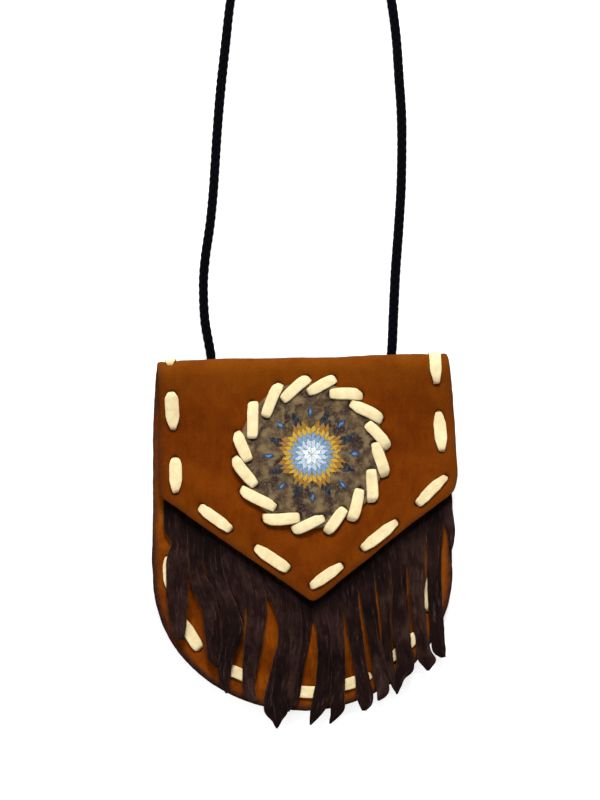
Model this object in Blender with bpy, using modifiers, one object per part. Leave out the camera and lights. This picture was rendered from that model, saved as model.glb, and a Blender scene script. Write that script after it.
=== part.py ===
"""Laced suede medicine bag with a folded flap, fringe, round medallion and neck cord.

The bag lies on its back: +Z points out of its front, +X to the right, +Y towards
the fold and the neck cord. Z = 0 is the surface that it lies on. The origin is the
middle of the bag's own box, without the cord. Lengths below are millimetres.
"""
import bpy
import bmesh
from math import atan2, cos, degrees, hypot, pi, radians, sin
from mathutils import Matrix, Vector

# ---------------------------------------------------------------- driving dimensions
MM = 0.001
BOX_X = 0.188            # middle of the bag's box in the drawing's own coordinates
BOX_Y = 0.70

SUEDE = 1.3              # thickness of the panels and the flap
FRINGE_T = 1.1
DISC_T = 1.2
LACE_T = 0.7
GAP = 0.3                # air kept between pieces that lie on each other

HALF_W = 51.8            # pouch: half width of the straight sides
BOTTOM_H = 46.0          # height of the rounded bottom
SIDE_END = -10.0         # where the straight sides turn into the rounded bottom
MOUTH_Y = 50.0           # top edge of the front panel
TAPER = 2.45             # each side draws in by this much towards the fold
SHIFT = 1.15             # and the fold sits this much to the right

FOLD_Y = 58.4            # the panel is flat up to here, then folds over
FOLD_R = 4.675           # radius of the middle of the fold
FOLD_Z = FOLD_R + SUEDE / 2
SPLIT = 0.15             # half the gap between back panel and flap at the crest

FLANGE_Z = 1.25          # underside of the laced edge of the back panel
FRONT_Z = 2.95           # underside of the laced edge of the front panel
DOME = 3.7               # how far the front panel stands up in the middle
FRINGE_Z = 5.6
FLAP_Z = 6.6
LIE = 2.75               # rise of fringe and flap over the dome
BAND_RISE = 0.95         # fringe: rise of its laced band
FLAP_RISE = 1.4          # flap: rise over the fringe band

FLAP_L = (-48.2, -47.9)  # flap's left edge: x at the fold, x at its lower corner
FLAP_R = (50.5, 52.2)
CORNER_L = (-47.9, 16.9)
CORNER_R = (52.2, 17.6)
APEX = (2.5, -19.8)

LACE_W = 4.2             # lace, flat
LACE_W_HOLE = 1.9        # lace, pinched in a hole
HOLE_R = 2.0
PUNCH_TURN = radians(11)  # the six-sided punches stand askew to the seams
SEAM_INSET = 4.5

DISC_C = (3.4, 29.9)
DISC_R = 24.5
STITCHES = 16
STITCH_R = 23.5
STITCH_L = 12.3
STITCH_TILT = radians(35)
STITCH_FIRST = radians(102)

STRIPS = 17
SLIT = 0.8
BAND = 11.0
STRIP_X = (-47.3, 51.3)
# lower end of each strip, from left to right: x, y
TIPS = ((-43.8, -30.0), (-37.2, -39.0), (-31.2, -45.7), (-25.7, -48.7), (-20.2, -52.3),
        (-14.7, -55.7), (-9.2, -62.3), (-3.7, -59.5), (1.8, -61.6), (7.4, -61.3),
        (13.4, -57.0), (19.5, -56.0), (25.1, -54.0), (30.8, -51.6), (37.2, -42.5),
        (43.5, -42.8), (49.6, -6.0))

CORD_R = 1.6
KNOT_R = 3.2
COIL_C = (9.0, 226.0)
COIL_IN, COIL_OUT, COIL_H = 13.4, 23.9, 6.7

# ---------------------------------------------------------------- clean start
for obj in list(bpy.data.objects):
    bpy.data.objects.remove(obj, do_unlink=True)

parts = bpy.data.collections.new("medicine_bag")
tools = bpy.data.collections.new("cutters")
bpy.context.scene.collection.children.link(parts)
bpy.context.scene.collection.children.link(tools)


def material(name, rgb, rough, metal=0.0):
    mat = bpy.data.materials.new(name)
    mat.use_nodes = True
    bsdf = mat.node_tree.nodes["Principled BSDF"]
    lin = [c / 12.92 if c <= 0.04045 else ((c + 0.055) / 1.055) ** 2.4
           for c in (v / 255 for v in rgb)]
    bsdf.inputs["Base Color"].default_value = (*lin, 1)
    bsdf.inputs["Roughness"].default_value = rough
    bsdf.inputs["Metallic"].default_value = metal
    return mat


def place(x, y, z):
    return Vector(((x - BOX_X) * MM, (y - BOX_Y) * MM, z * MM))


def ramp(value, knots):
    """Straight lines through (input, output) knots, level outside them."""
    if value <= knots[0][0]:
        return knots[0][1]
    for (a, p), (b, q) in zip(knots, knots[1:]):
        if value <= b:
            return p + (q - p) * (value - a) / (b - a)
    return knots[-1][1]


# ---------------------------------------------------------------- the bag's surfaces
def half_width(y):
    return HALF_W - ramp(y, ((15, 0), (40, TAPER * 0.6), (60, TAPER)))


def middle(y):
    return ramp(y, ((15, 0), (40, SHIFT * 0.6), (60, SHIFT)))


def inset(x, y):
    """Distance from the pouch's outline, inwards."""
    if y >= SIDE_END:
        return half_width(y) - abs(x - middle(y))
    reach = hypot(x / HALF_W, (y - SIDE_END) / BOTTOM_H)
    return hypot(x, y - SIDE_END) * (1 / reach - 1)


INSETS = (6.8, 10.8, 17.0, 21.0)


def dome(x, y):
    return ramp(inset(x, y), tuple(zip(INSETS, (0, 0.25, 0.82, 1))))


def back_under(x, y):
    edge = ramp(inset(x, y), ((6.8, 1), (10.8, 0)))
    return FLANGE_Z * edge * ramp(y, ((46, 1), (54, 0)))


def front_under(x, y):
    return FRONT_Z + DOME * dome(x, y)


def vee(x):
    """Y of the flap's pointed lower edge at x."""
    if x < APEX[0]:
        k = (APEX[1] - CORNER_L[1]) / (APEX[0] - CORNER_L[0])
    else:
        k = (CORNER_R[1] - APEX[1]) / (CORNER_R[0] - APEX[0])
    return APEX[1] + k * (x - APEX[0])


def over_vee(x, y):
    """Height above the pointed edge, along Y."""
    return y - vee(x)


def lie(x, y):
    """0 on the laced edge, 1 over the dome and near the fold."""
    d = dome(x, y)
    return d + (1 - d) * ramp(y, ((40, 0), (FOLD_Y, 1)))


def flap_rise(x, y):
    return ramp(over_vee(x, y), ((12, 1), (18.75, 0)))


def flap_under(x, y):
    return FLAP_Z + LIE * lie(x, y) + FLAP_RISE * flap_rise(x, y)


def fringe_under(x, y):
    band = ramp(over_vee(x, y), ((-9, 0), (-1, 1)))
    free = max(0.0, -inset(x, y))
    return FRINGE_Z + LIE * dome(x, y) + BAND_RISE * band - 0.22 * free


def flap_point(x, q, h):
    """A point h above the flap's underside. q is y, and past FOLD_Y it is the
    length along the middle of the fold."""
    if q <= FOLD_Y:
        return Vector((x, q, flap_under(x, q) + h))
    turn = (q - FOLD_Y) / FOLD_R
    r = FOLD_R - SUEDE / 2 + h
    return Vector((x, FOLD_Y + r * sin(turn), FOLD_Z + r * cos(turn)))


CREST = FOLD_Y + FOLD_R * pi / 2


# ---------------------------------------------------------------- builders
def add(name, mesh, mat, smooth=True):
    obj = bpy.data.objects.new(name, mesh)
    mesh.materials.append(mat)
    if smooth:
        mesh.shade_smooth()
        mesh.set_sharp_from_angle(angle=radians(40))
    parts.objects.link(obj)
    return obj


def sheet(name, nu, nv, where, thickness, mat, keep=None):
    """A grid laid by where(i, j) in drawing millimetres, thickened along its normals."""
    bm = bmesh.new()
    bmesh.ops.create_grid(bm, x_segments=nu, y_segments=nv, size=1)
    index = {v: (round((v.co.x + 1) / 2 * nu), round((v.co.y + 1) / 2 * nv)) for v in bm.verts}
    if keep:
        out = []
        for f in bm.faces:
            i = min(index[v][0] for v in f.verts)
            j = min(index[v][1] for v in f.verts)
            if not keep(i, j):
                out.append(f)
        bmesh.ops.delete(bm, geom=out, context='FACES')
    for v in bm.verts:
        i, j = index[v]
        v.co = place(*where(i, j))
    mesh = bpy.data.meshes.new(name)
    bm.to_mesh(mesh)
    bm.free()
    obj = add(name, mesh, mat)
    mod = obj.modifiers.new("thickness", 'SOLIDIFY')
    mod.thickness = thickness * MM
    mod.offset = 1
    return obj


def holes(name, spots):
    """One cutter of straight punches: each spot is (centre, direction, length, radius)."""
    bm = bmesh.new()
    for centre, axis, length, radius in spots:
        turn = (Vector((0, 0, 1)).rotation_difference(axis).to_matrix().to_4x4()
                @ Matrix.Rotation(PUNCH_TURN, 4, 'Z'))
        bmesh.ops.create_cone(bm, cap_ends=True, segments=6, radius1=radius * MM,
                              radius2=radius * MM, depth=length * MM,
                              matrix=Matrix.Translation(place(*centre)) @ turn)
    mesh = bpy.data.meshes.new(name)
    bm.to_mesh(mesh)
    bm.free()
    obj = bpy.data.objects.new(name, mesh)
    obj.hide_render = True
    obj.display_type = 'WIRE'
    tools.objects.link(obj)
    return obj


def cut(obj, cutter):
    mod = obj.modifiers.new("holes", 'BOOLEAN')
    mod.operation = 'DIFFERENCE'
    mod.object = cutter


def ribbon(name, rings, mat):
    """A flat lace lofted through rings of (centre, half of its width as a vector)."""
    bm = bmesh.new()
    rows = []
    for n, (c, side) in enumerate(rings):
        ahead = rings[min(n + 1, len(rings) - 1)][0] - rings[max(n - 1, 0)][0]
        up = side.cross(ahead).normalized() * (LACE_T / 2)
        # the four corners of the section
        rows.append([bm.verts.new(place(*(c + p))) for p in
                     (-side - up, side - up, side + up, -side + up)])
    for a, b in zip(rows, rows[1:]):
        for k in range(4):
            bm.faces.new((a[k], a[(k + 1) % 4], b[(k + 1) % 4], b[k]))
    bm.faces.new(rows[0][::-1])
    bm.faces.new(rows[-1])
    bmesh.ops.recalc_face_normals(bm, faces=bm.faces)
    mesh = bpy.data.meshes.new(name)
    bm.to_mesh(mesh)
    bm.free()
    return add(name, mesh, mat)


class Path:
    """A plan path of (x, y) points, read by the length along it."""

    def __init__(self, points):
        self.p = [Vector(p) for p in points]
        self.s = [0.0]
        for a, b in zip(self.p, self.p[1:]):
            self.s.append(self.s[-1] + (b - a).length)

    def at(self, s):
        s = min(max(s, 0.0), self.s[-1])
        for k in range(len(self.s) - 1):
            if s <= self.s[k + 1]:
                f = (s - self.s[k]) / (self.s[k + 1] - self.s[k])
                return self.p[k].lerp(self.p[k + 1], f)
        return self.p[-1].copy()

    def heading(self, s):
        return (self.at(s + 0.8) - self.at(s - 0.8)).normalized()

    def nearest(self, x, y):
        steps = [self.s[-1] * k / 2000 for k in range(2001)]
        return min(steps, key=lambda s: (self.at(s) - Vector((x, y))).length)


def smooth_curve(points, step):
    """Points every step along a smooth curve through the given ones."""
    p = [Vector(v) for v in points]
    p = [p[0] * 2 - p[1]] + p + [p[-1] * 2 - p[-2]]
    dense = []
    for a, b, c, d in zip(p, p[1:], p[2:], p[3:]):
        for k in range(24):
            t = k / 24
            dense.append(0.5 * ((2 * b) + (c - a) * t + (2 * a - 5 * b + 4 * c - d) * t * t
                                + (3 * b - a - 3 * c + d) * t ** 3))
    dense.append(p[-2])
    length = [0.0]
    for a, b in zip(dense, dense[1:]):
        length.append(length[-1] + (b - a).length)
    count = max(2, round(length[-1] / step))
    out, k = [], 0
    for n in range(count + 1):
        s = length[-1] * n / count
        while k < len(length) - 2 and length[k + 1] < s:
            k += 1
        f = (s - length[k]) / (length[k + 1] - length[k])
        out.append(dense[k].lerp(dense[k + 1], min(f, 1)))
    return out


# ---------------------------------------------------------------- materials
suede_back = material("suede_back", (120, 62, 14), 0.95)
suede_front = material("suede_front", (112, 52, 8), 0.95)
suede_flap = material("suede_flap", (124, 64, 12), 0.95)
fringe_mat = material("fringe_suede", (46, 29, 26), 0.95)
disc_mat = material("medallion_leather", (128, 112, 88), 0.7)
lace_pouch = material("pouch_lace_leather", (240, 226, 184), 0.7)
lace_flap = material("flap_lace_leather", (240, 226, 184), 0.7)
lace_disc = material("medallion_lace_leather", (240, 226, 184), 0.7)
cord_mats = {n: material(n + "_black", (12, 12, 17), 0.7) for n in
             ("cord_left", "cord_right", "cord_coil", "knot_left", "knot_right")}

# ---------------------------------------------------------------- pouch lace and its holes
LACE_SIDE = (-47.0, 45.5)
seam = [(middle(y) - half_width(y) + SEAM_INSET, y) for y in (45.5, 40, 30, 20, 10, 0)]
for k in range(0, 49):
    a = pi + pi * k / 48
    reach = 1 / hypot(cos(a) / HALF_W, sin(a) / BOTTOM_H) - SEAM_INSET
    seam.append((reach * cos(a), SIDE_END + reach * sin(a)))
seam += [(middle(y) + half_width(y) - SEAM_INSET, y) for y in (0, 10, 20, 30, 40, 45.5)]
seam = Path(seam)
seam_spots = ((-46.6, 34), (-47.3, 12), (-47.5, -9.2), (-37.7, -30.9), (-24, -44),
              (-2, -51.3), (17.7, -47.5), (33, -37), (43.7, -19.5), (47.3, 1),
              (47.2, 21.5), (46.5, 39.2))
TOP_RUN = 12.6
seam_runs = [(seam.nearest(*c) - TOP_RUN / 2, seam.nearest(*c) + TOP_RUN / 2)
             for c in seam_spots]
SEAM_TOP = FRONT_Z + SUEDE + GAP + LACE_T / 2
SEAM_LOW = FLANGE_Z - GAP - LACE_T / 2


def running(path, runs, top, low, point, start_hole=True, end_hole=True):
    """Rings of a running stitch, and its holes as lengths along the path.
    top and low are the heights of its middle at a place, as functions of (x, y)."""
    rings, punched = [], []

    def ring(s, h, w):
        c = path.at(s)
        t = path.heading(s)
        side = Vector((-t.y, t.x)) * (w / 2)
        a = point(c.x + side.x, c.y + side.y, h(c.x + side.x, c.y + side.y))
        b = point(c.x - side.x, c.y - side.y, h(c.x - side.x, c.y - side.y))
        rings.append(((a + b) / 2, (a - b) / 2))

    def mid(x, y):
        return (top(x, y) + low(x, y)) / 2

    for n, (a, b) in enumerate(runs):
        if n or start_hole:
            punched.append(a)
            if n:
                ring(a - 1.05, low, 2.0)
            ring(a, mid, LACE_W_HOLE)
            ring(a + 1.05, top, 2.0)
        else:
            ring(a, top, LACE_W * 0.8)
        length = b - a
        over_fold = max(path.at(a).y, path.at(b).y) > FOLD_Y
        for f in ((0.15, 0.3, 0.45, 0.55, 0.65, 0.75, 0.85, 0.95) if over_fold else (0.28, 0.5, 0.72)):
            ring(a + length * f, top, LACE_W)
        if n < len(runs) - 1 or end_hole:
            punched.append(b)
            ring(b - 1.05, top, 2.0)
            ring(b, mid, LACE_W_HOLE)
            if n < len(runs) - 1:
                ring(b + 1.05, low, 2.0)
                ring((b + runs[n + 1][0]) / 2, low, LACE_W * 0.9)
        else:
            ring(b, top, LACE_W * 0.8)
    return rings, punched


def flat_point(x, y, z):
    return Vector((x, y, z))


seam_rings, seam_holes = running(seam, seam_runs, lambda x, y: SEAM_TOP,
                                 lambda x, y: SEAM_LOW, flat_point, False, False)
ribbon("pouch_lace", seam_rings, lace_pouch)
seam_cutter = holes("seam_holes", [((*seam.at(s), (FLANGE_Z + FRONT_Z + SUEDE) / 2),
                                    Vector((0, 0, 1)), 6.0, HOLE_R) for s in seam_holes])

# ---------------------------------------------------------------- the two panels
U = (-1, *(-(HALF_W - i) / HALF_W for i in INSETS), -0.32, 0,
     0.32, *((HALF_W - i) / HALF_W for i in reversed(INSETS)), 1)
V = (-1, *(-(BOTTOM_H - i) / BOTTOM_H for i in INSETS), -0.28, 0)


def pouch_xy(u, row, tops):
    """Rows 0..6 fill the rounded bottom, and the rest step up the straight sides."""
    if row < len(V):
        v = V[row]
        # a square laid into the half ellipse
        return (HALF_W * u * (1 - v * v / 2) ** 0.5,
                SIDE_END + BOTTOM_H * v * (1 - u * u / 2) ** 0.5)
    y = tops[row - len(V)]
    return middle(y) + half_width(y) * u, y


BACK_TOPS = (2, 15, 28, 40, 46, 54, FOLD_Y)
FOLD_STEPS = 5


def back_where(i, j):
    flat_rows = len(V) + len(BACK_TOPS)
    if j < flat_rows:
        x, y = pouch_xy(U[i], j, BACK_TOPS)
        return x, y, back_under(x, y)
    edge = pi / 2 - SPLIT / FOLD_R
    turn = edge * (j - flat_rows + 1) / FOLD_STEPS
    x = middle(60) + ramp(turn, ((0, half_width(FOLD_Y)), (edge, (FLAP_R[0] - FLAP_L[0]) / 2))) * U[i]
    r = FOLD_R + SUEDE / 2
    return x, FOLD_Y + r * sin(turn), FOLD_Z - r * cos(turn)


back = sheet("back_panel", len(U) - 1, len(V) + len(BACK_TOPS) + FOLD_STEPS - 1, back_where,
             SUEDE, suede_back)
cut(back, seam_cutter)

FRONT_TOPS = (2, 15, 28, 40, MOUTH_Y)


def front_where(i, j):
    x, y = pouch_xy(U[i], j, FRONT_TOPS)
    return x, y, front_under(x, y)


front = sheet("front_panel", len(U) - 1, len(V) + len(FRONT_TOPS) - 1, front_where,
              SUEDE, suede_front)
cut(front, seam_cutter)

# ---------------------------------------------------------------- flap
FLAP_COLS = [('L', None), *(('L', i) for i in INSETS), ('L', 34), ('x', APEX[0]),
             ('R', 34), *(('R', i) for i in reversed(INSETS)), ('R', None)]


def flap_x(col, y):
    side, i = FLAP_COLS[col]
    if side == 'x':
        return i
    if i is None:
        a, b = FLAP_L if side == 'L' else FLAP_R
        return ramp(y, ((17, b), (FOLD_Y, a)))
    if side == 'L':
        return middle(y) - half_width(y) + i
    return middle(y) + half_width(y) - i


FLAP_ROWS = FOLD_STEPS + 6


def flap_where(i, j):
    # rows run from the pointed edge up to the crest
    edge_x = flap_x(i, 17)
    if i in (0, len(FLAP_COLS) - 1):
        edge_y = (CORNER_L if i == 0 else CORNER_R)[1]
    else:
        edge_y = vee(edge_x)
    rows = (edge_y, edge_y + 6, edge_y + 12, edge_y + 18.75, 40, 50, FOLD_Y)
    if j < len(rows):
        y = rows[j]
        x = flap_x(i, y)
        return tuple(flap_point(x, y, 0))
    x = flap_x(i, FOLD_Y)
    turn = (pi / 2 - SPLIT / FOLD_R) * (j - len(rows) + 1) / FOLD_STEPS
    r = FOLD_R - SUEDE / 2
    return x, FOLD_Y + r * sin(turn), FOLD_Z + r * cos(turn)


flap = sheet("flap", len(FLAP_COLS) - 1, FLAP_ROWS, flap_where, SUEDE, suede_flap)

# ---------------------------------------------------------------- flap lace
border = Path([(-43.6, CREST - 0.6), (-43.5, FOLD_Y), (-43.4, 45.7), (-42.9, 24.0), (-42.8, 20.0),
               (-41.9, 18.0), (-40.0, 16.5), (-30.0, 9.3), (-11.0, -4.7), (0.4, -13.0), (2.4, -14.0),
               (4.4, -13.3), (7.2, -11.2), (25.6, 2.2), (43.7, 16.0), (46.4, 18.6), (47.6, 22.0),
               (47.5, 36.7), (46.6, FOLD_Y - 2), (46.4, CREST - 0.9)])


def run_at(x, y, length=12.8):
    s = border.nearest(x, y)
    return (s - length / 2, s + length / 2)


border_runs = [(0.0, 4.2), run_at(-43.4, 45.7), run_at(-42.7, 25.2), run_at(-30, 9.3),
               run_at(-11, -4.7), run_at(8.2, -10.5, 12.0), run_at(25.6, 2.2), run_at(43.0, 15.6, 12.0),
               run_at(47.5, 37.0), (border.nearest(46.9, 51.4), border.s[-1])]
LACE_TOP = SUEDE + GAP + LACE_T / 2
LACE_LOW = -0.4 - LACE_T / 2


def lace_low(x, q):
    return LACE_LOW - FLAP_RISE * (flap_rise(x, q) if q < FOLD_Y else 0)


border_rings, border_holes = running(border, border_runs, lambda x, q: LACE_TOP, lace_low,
                                     flap_point, False, False)
ribbon("flap_lace", border_rings, lace_flap)


def flap_punch(x, q, low, high, radius=HOLE_R):
    a, b = flap_point(x, q, low), flap_point(x, q, high)
    return (tuple((a + b) / 2), (b - a).normalized(), (b - a).length, radius)


border_cutter = holes("border_holes", [flap_punch(*border.at(s), -2.2 if border.at(s).y < 40 else -0.6,
                                                  1.9) for s in border_holes])
cut(flap, border_cutter)

# ---------------------------------------------------------------- fringe
COLS = 2 * STRIPS - 1
BAND_ROWS = 2
STRIP_ROWS = 6


def fringe_where(i, j):
    pitch = (STRIP_X[1] - STRIP_X[0] + SLIT) / STRIPS
    strip, right = divmod(i, 2)
    x = STRIP_X[0] + pitch * strip + (pitch - SLIT) * right
    top = vee(x)
    rows = (top + BAND, top + BAND * 0.5, top + 0.8)
    if j < len(rows):
        y = rows[j]
        # the band stays inside the flap's edge
        x = min(max(x, flap_x(0, y) + 0.6), flap_x(len(FLAP_COLS) - 1, y) - 0.6)
    else:
        f = (j - len(rows) + 1) / STRIP_ROWS
        # cut to a slanted tip
        tip = TIPS[strip][1] + (2.2 if right == strip % 2 else -0.8)
        y = top + 0.8 + (tip - top - 0.8) * f
        # the strips splay a little
        x += (TIPS[strip][0] - (STRIP_X[0] + pitch * strip + (pitch - SLIT) / 2)) * f * f
    return x, y, fringe_under(x, y)


fringe = sheet("fringe", COLS, BAND_ROWS + STRIP_ROWS, lambda i, j: fringe_where(COLS - i, j),
               FRINGE_T, fringe_mat,
               keep=lambda i, j: (COLS - 1 - i) % 2 == 0 or j < BAND_ROWS)
cut(fringe, border_cutter)

# ---------------------------------------------------------------- medallion
RINGS = 10


def disc_where(i, j):
    u, v = i / RINGS * 2 - 1, j / RINGS * 2 - 1
    x = DISC_C[0] + DISC_R * u * (1 - v * v / 2) ** 0.5
    y = DISC_C[1] + DISC_R * v * (1 - u * u / 2) ** 0.5
    return tuple(flap_point(x, y, SUEDE + GAP))


disc = sheet("medallion_disc", RINGS, RINGS, disc_where, DISC_T, disc_mat)

whip_rings, whip_spots = [], []
ON_DISC = SUEDE + GAP + DISC_T + GAP + LACE_T / 2


def whip(c, side, h, w):
    s = side * (w / 2)
    a, b = flap_point(c.x + s.x, c.y + s.y, h), flap_point(c.x - s.x, c.y - s.y, h)
    whip_rings.append(((a + b) / 2, (a - b) / 2))


def stitch(n):
    """Inner hole, outer hole and heading of whip stitch n, clockwise."""
    a = STITCH_FIRST - 2 * pi * n / STITCHES
    out = Vector((cos(a), sin(a)))
    clockwise = Vector((sin(a), -cos(a)))
    heading = clockwise * cos(STITCH_TILT) + out * sin(STITCH_TILT)
    c = Vector(DISC_C) + out * STITCH_R
    return c - heading * STITCH_L / 2, c + heading * STITCH_L / 2, heading


for n in range(STITCHES):
    inner, outer, heading = stitch(n)
    side = Vector((-heading.y, heading.x))
    if n:
        whip(inner, side, (ON_DISC + LACE_LOW) / 2, 1.9)
        whip_spots.append(flap_punch(inner.x, inner.y, -0.6, SUEDE + GAP + DISC_T + 0.5, 1.9))
        whip(inner + heading * 1.0, side, ON_DISC, 2.0)
    else:
        whip(inner, side, ON_DISC, 2.8)
    whip(inner + heading * 4.6, side, ON_DISC, 3.8)
    whip(inner + heading * 8.0, side, ON_DISC, 3.6)
    whip(inner + heading * 10.2, side, ON_DISC - 0.15, 2.5)
    if n == STITCHES - 1:
        whip(outer - heading * 1.0, side, LACE_TOP, 2.0)
        break
    whip(outer - heading * 1.0, side, LACE_TOP, 2.0)
    whip(outer, side, (LACE_TOP + LACE_LOW) / 2, 1.9)
    whip_spots.append(flap_punch(outer.x, outer.y, -0.6, SUEDE + 0.5, 1.9))
    following = stitch(n + 1)[0]
    back_way = (following - outer).normalized()
    back_side = Vector((back_way.y, -back_way.x))
    whip(outer + back_way * 1.0, back_side, LACE_LOW, 2.0)
    whip(following - back_way * 1.0, back_side, LACE_LOW, 2.0)
ribbon("medallion_lace", whip_rings, lace_disc)
whip_cutter = holes("whip_holes", whip_spots)
cut(flap, whip_cutter)
cut(disc, whip_cutter)

# ---------------------------------------------------------------- neck cord
ON_FLOOR = CORD_R + 0.02
left_route = [(-30.2, 57.95, 4.0), (-30.1, 60.2, 3.0), (-30.0, 62.2, 2.1), (-29.95, 64.3, 1.72),
              (-30.4, 67.5, ON_FLOOR), (-31.8, 77.3, ON_FLOOR), (-31.9, 89.2, ON_FLOOR),
              (-31.0, 98.2, ON_FLOOR), (-29.1, 109.2, ON_FLOOR), (-27.6, 121.1, ON_FLOOR),
              (-25.8, 140.4, ON_FLOOR), (-24.2, 155.0, ON_FLOOR), (-21.9, 172.0, ON_FLOOR),
              (-19.7, 187.0, ON_FLOOR), (-16.4, 200.0, ON_FLOOR), (-13.6, 211.5, ON_FLOOR)]
right_route = [(31.0, 57.95, 4.0), (31.2, 60.2, 3.0), (31.5, 62.2, 2.1), (31.8, 64.3, 1.72),
               (32.1, 67.5, ON_FLOOR), (32.9, 79.0, ON_FLOOR), (33.9, 92.0, ON_FLOOR),
               (35.3, 106.0, ON_FLOOR), (36.7, 122.4, ON_FLOOR), (37.4, 142.8, ON_FLOOR),
               (36.9, 158.0, ON_FLOOR), (36.3, 172.0, ON_FLOOR), (34.8, 186.0, ON_FLOOR),
               (31.6, 198.5, ON_FLOOR), (28.4, 207.5, 1.9)]


def cord(name, route):
    curve = bpy.data.curves.new(name, 'CURVE')
    curve.dimensions = '3D'
    curve.bevel_depth = CORD_R * MM
    curve.bevel_resolution = 2
    curve.use_fill_caps = True
    near = smooth_curve(route[:5], 2.4)
    far = smooth_curve(route[4:], 8.0)
    points = near[:-1] + far
    spline = curve.splines.new('POLY')
    spline.points.add(len(points) - 1)
    for p, q in zip(spline.points, points):
        p.co = (*place(*q), 1)
    obj = bpy.data.objects.new(name, curve)
    curve.materials.append(cord_mats[name])
    parts.objects.link(obj)
    return obj


def knot(name, x, y, z):
    bm = bmesh.new()
    bmesh.ops.create_uvsphere(bm, u_segments=12, v_segments=8, radius=1)
    for v in bm.verts:
        around = atan2(v.co.y, v.co.x)
        lobe = 1 + 0.07 * sin(3 * around + 2.5 * v.co.z)
        v.co = Vector((v.co.x * lobe * KNOT_R * MM, v.co.y * lobe * KNOT_R * 0.86 * MM,
                       v.co.z * KNOT_R * 0.96 * MM))
    mesh = bpy.data.meshes.new(name)
    bm.to_mesh(mesh)
    bm.free()
    obj = add(name, mesh, cord_mats[name])
    obj.location = place(x, y, z)
    return obj


cord("cord_left", left_route)
cord("cord_right", right_route)
knot("knot_left", -30.3, 54.35, 5.0)
knot("knot_right", 30.9, 54.35, 5.0)


def punch_cord(route):
    a, b = Vector(route[1]), Vector(route[3])
    return (tuple((a + b) / 2 + Vector((0, 0, 0.05))), (b - a).normalized(), 6.0, 2.35)


cord_cutter = holes("cord_holes", [punch_cord(left_route), punch_cord(right_route)])
cut(back, cord_cutter)

# the rest of the cord, wound up: the outer shape of the coil is a turned ring
ring_profile = [(COIL_OUT - 1.6, COIL_H), (COIL_OUT - 0.4, COIL_H - 1.9), (COIL_OUT, 3.0),
                (COIL_OUT, 0.9), (COIL_OUT - 0.9, 0.02), (COIL_IN + 0.9, 0.02), (COIL_IN, 0.9),
                (COIL_IN, 3.0), (COIL_IN + 0.4, COIL_H - 1.9), (COIL_IN + 1.6, COIL_H)]
bm = bmesh.new()
verts = [bm.verts.new((r * MM, 0, z * MM)) for r, z in ring_profile]
for a, b in zip(verts, verts[1:] + verts[:1]):
    bm.edges.new((a, b))
mesh = bpy.data.meshes.new("cord_coil")
bm.to_mesh(mesh)
bm.free()
coil = bpy.data.objects.new("cord_coil", mesh)
mesh.materials.append(cord_mats["cord_coil"])
parts.objects.link(coil)
coil.location = place(*COIL_C, 0)
turned = coil.modifiers.new("turned", 'SCREW')
turned.angle = 2 * pi
turned.steps = 32
turned.render_steps = 32
turned.use_merge_vertices = True
turned.merge_threshold = 0.00001
turned.use_smooth_shade = True
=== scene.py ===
"""Looks of the laced suede medicine bag: hide, fringe, lacing, painted disc and neck cord.

Lengths are drawing millimetres, as in the part's own source, and place() turns them
into the frame's metres.
"""
from math import atan2, cos, degrees, hypot, pi, radians, sin, sqrt

import bpy
import numpy as np
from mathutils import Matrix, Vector, geometry


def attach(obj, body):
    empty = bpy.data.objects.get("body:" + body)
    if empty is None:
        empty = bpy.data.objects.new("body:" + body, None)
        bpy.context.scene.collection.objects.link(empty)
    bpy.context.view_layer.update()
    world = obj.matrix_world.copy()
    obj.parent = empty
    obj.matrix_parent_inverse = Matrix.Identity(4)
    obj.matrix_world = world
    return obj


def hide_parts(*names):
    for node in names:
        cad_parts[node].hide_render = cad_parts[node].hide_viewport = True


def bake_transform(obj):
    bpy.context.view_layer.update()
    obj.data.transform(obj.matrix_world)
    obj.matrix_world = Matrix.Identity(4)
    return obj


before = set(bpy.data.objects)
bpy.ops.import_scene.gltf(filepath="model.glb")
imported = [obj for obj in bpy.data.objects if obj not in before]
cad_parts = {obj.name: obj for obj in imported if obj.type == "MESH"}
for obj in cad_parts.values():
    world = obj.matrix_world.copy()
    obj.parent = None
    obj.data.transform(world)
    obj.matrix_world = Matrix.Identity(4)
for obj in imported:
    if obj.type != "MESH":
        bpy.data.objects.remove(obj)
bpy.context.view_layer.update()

MM = 0.001
BOX_X, BOX_Y = 0.188, 0.70


def place(x, y, z):
    return Vector(((x - BOX_X) * MM, (y - BOX_Y) * MM, z * MM))


def metres(points):
    """Drawing millimetres to the frame's metres, for an array of points."""
    return (np.asarray(points, float) - (BOX_X, BOX_Y, 0)) * MM


# ================================================================ camera
LOOK_Y = 48.55
VIEW_HIGH = 0.272        # what the picture's height covers, in the plane of the flap
DISTANCE = 1.3
camera_data = bpy.data.cameras.new("camera")
camera_data.sensor_width = 36
camera_data.lens = 36 * DISTANCE / VIEW_HIGH
camera_data.clip_start = 0.05
camera_data.clip_end = 20
camera = bpy.data.objects.new("camera", camera_data)
bpy.context.scene.collection.objects.link(camera)
camera.location = place(0, LOOK_Y, 9) + Vector((0, 0, DISTANCE))
camera.rotation_euler = (0, 0, radians(-1.6))
bpy.context.scene.camera = camera
bpy.context.scene.view_settings.view_transform = 'Standard'


# ================================================================ noise and small helpers
def lattice(ix, iy, seed):
    n = (ix.astype(np.int64) * 374761393 + iy.astype(np.int64) * 668265263 + seed * 974711) & 0xffffffff
    n = ((n ^ (n >> 13)) * 1274126177) & 0xffffffff
    n = (n ^ (n >> 16)) & 0xffffffff
    return n / 4294967295.0 * 2 - 1


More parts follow.
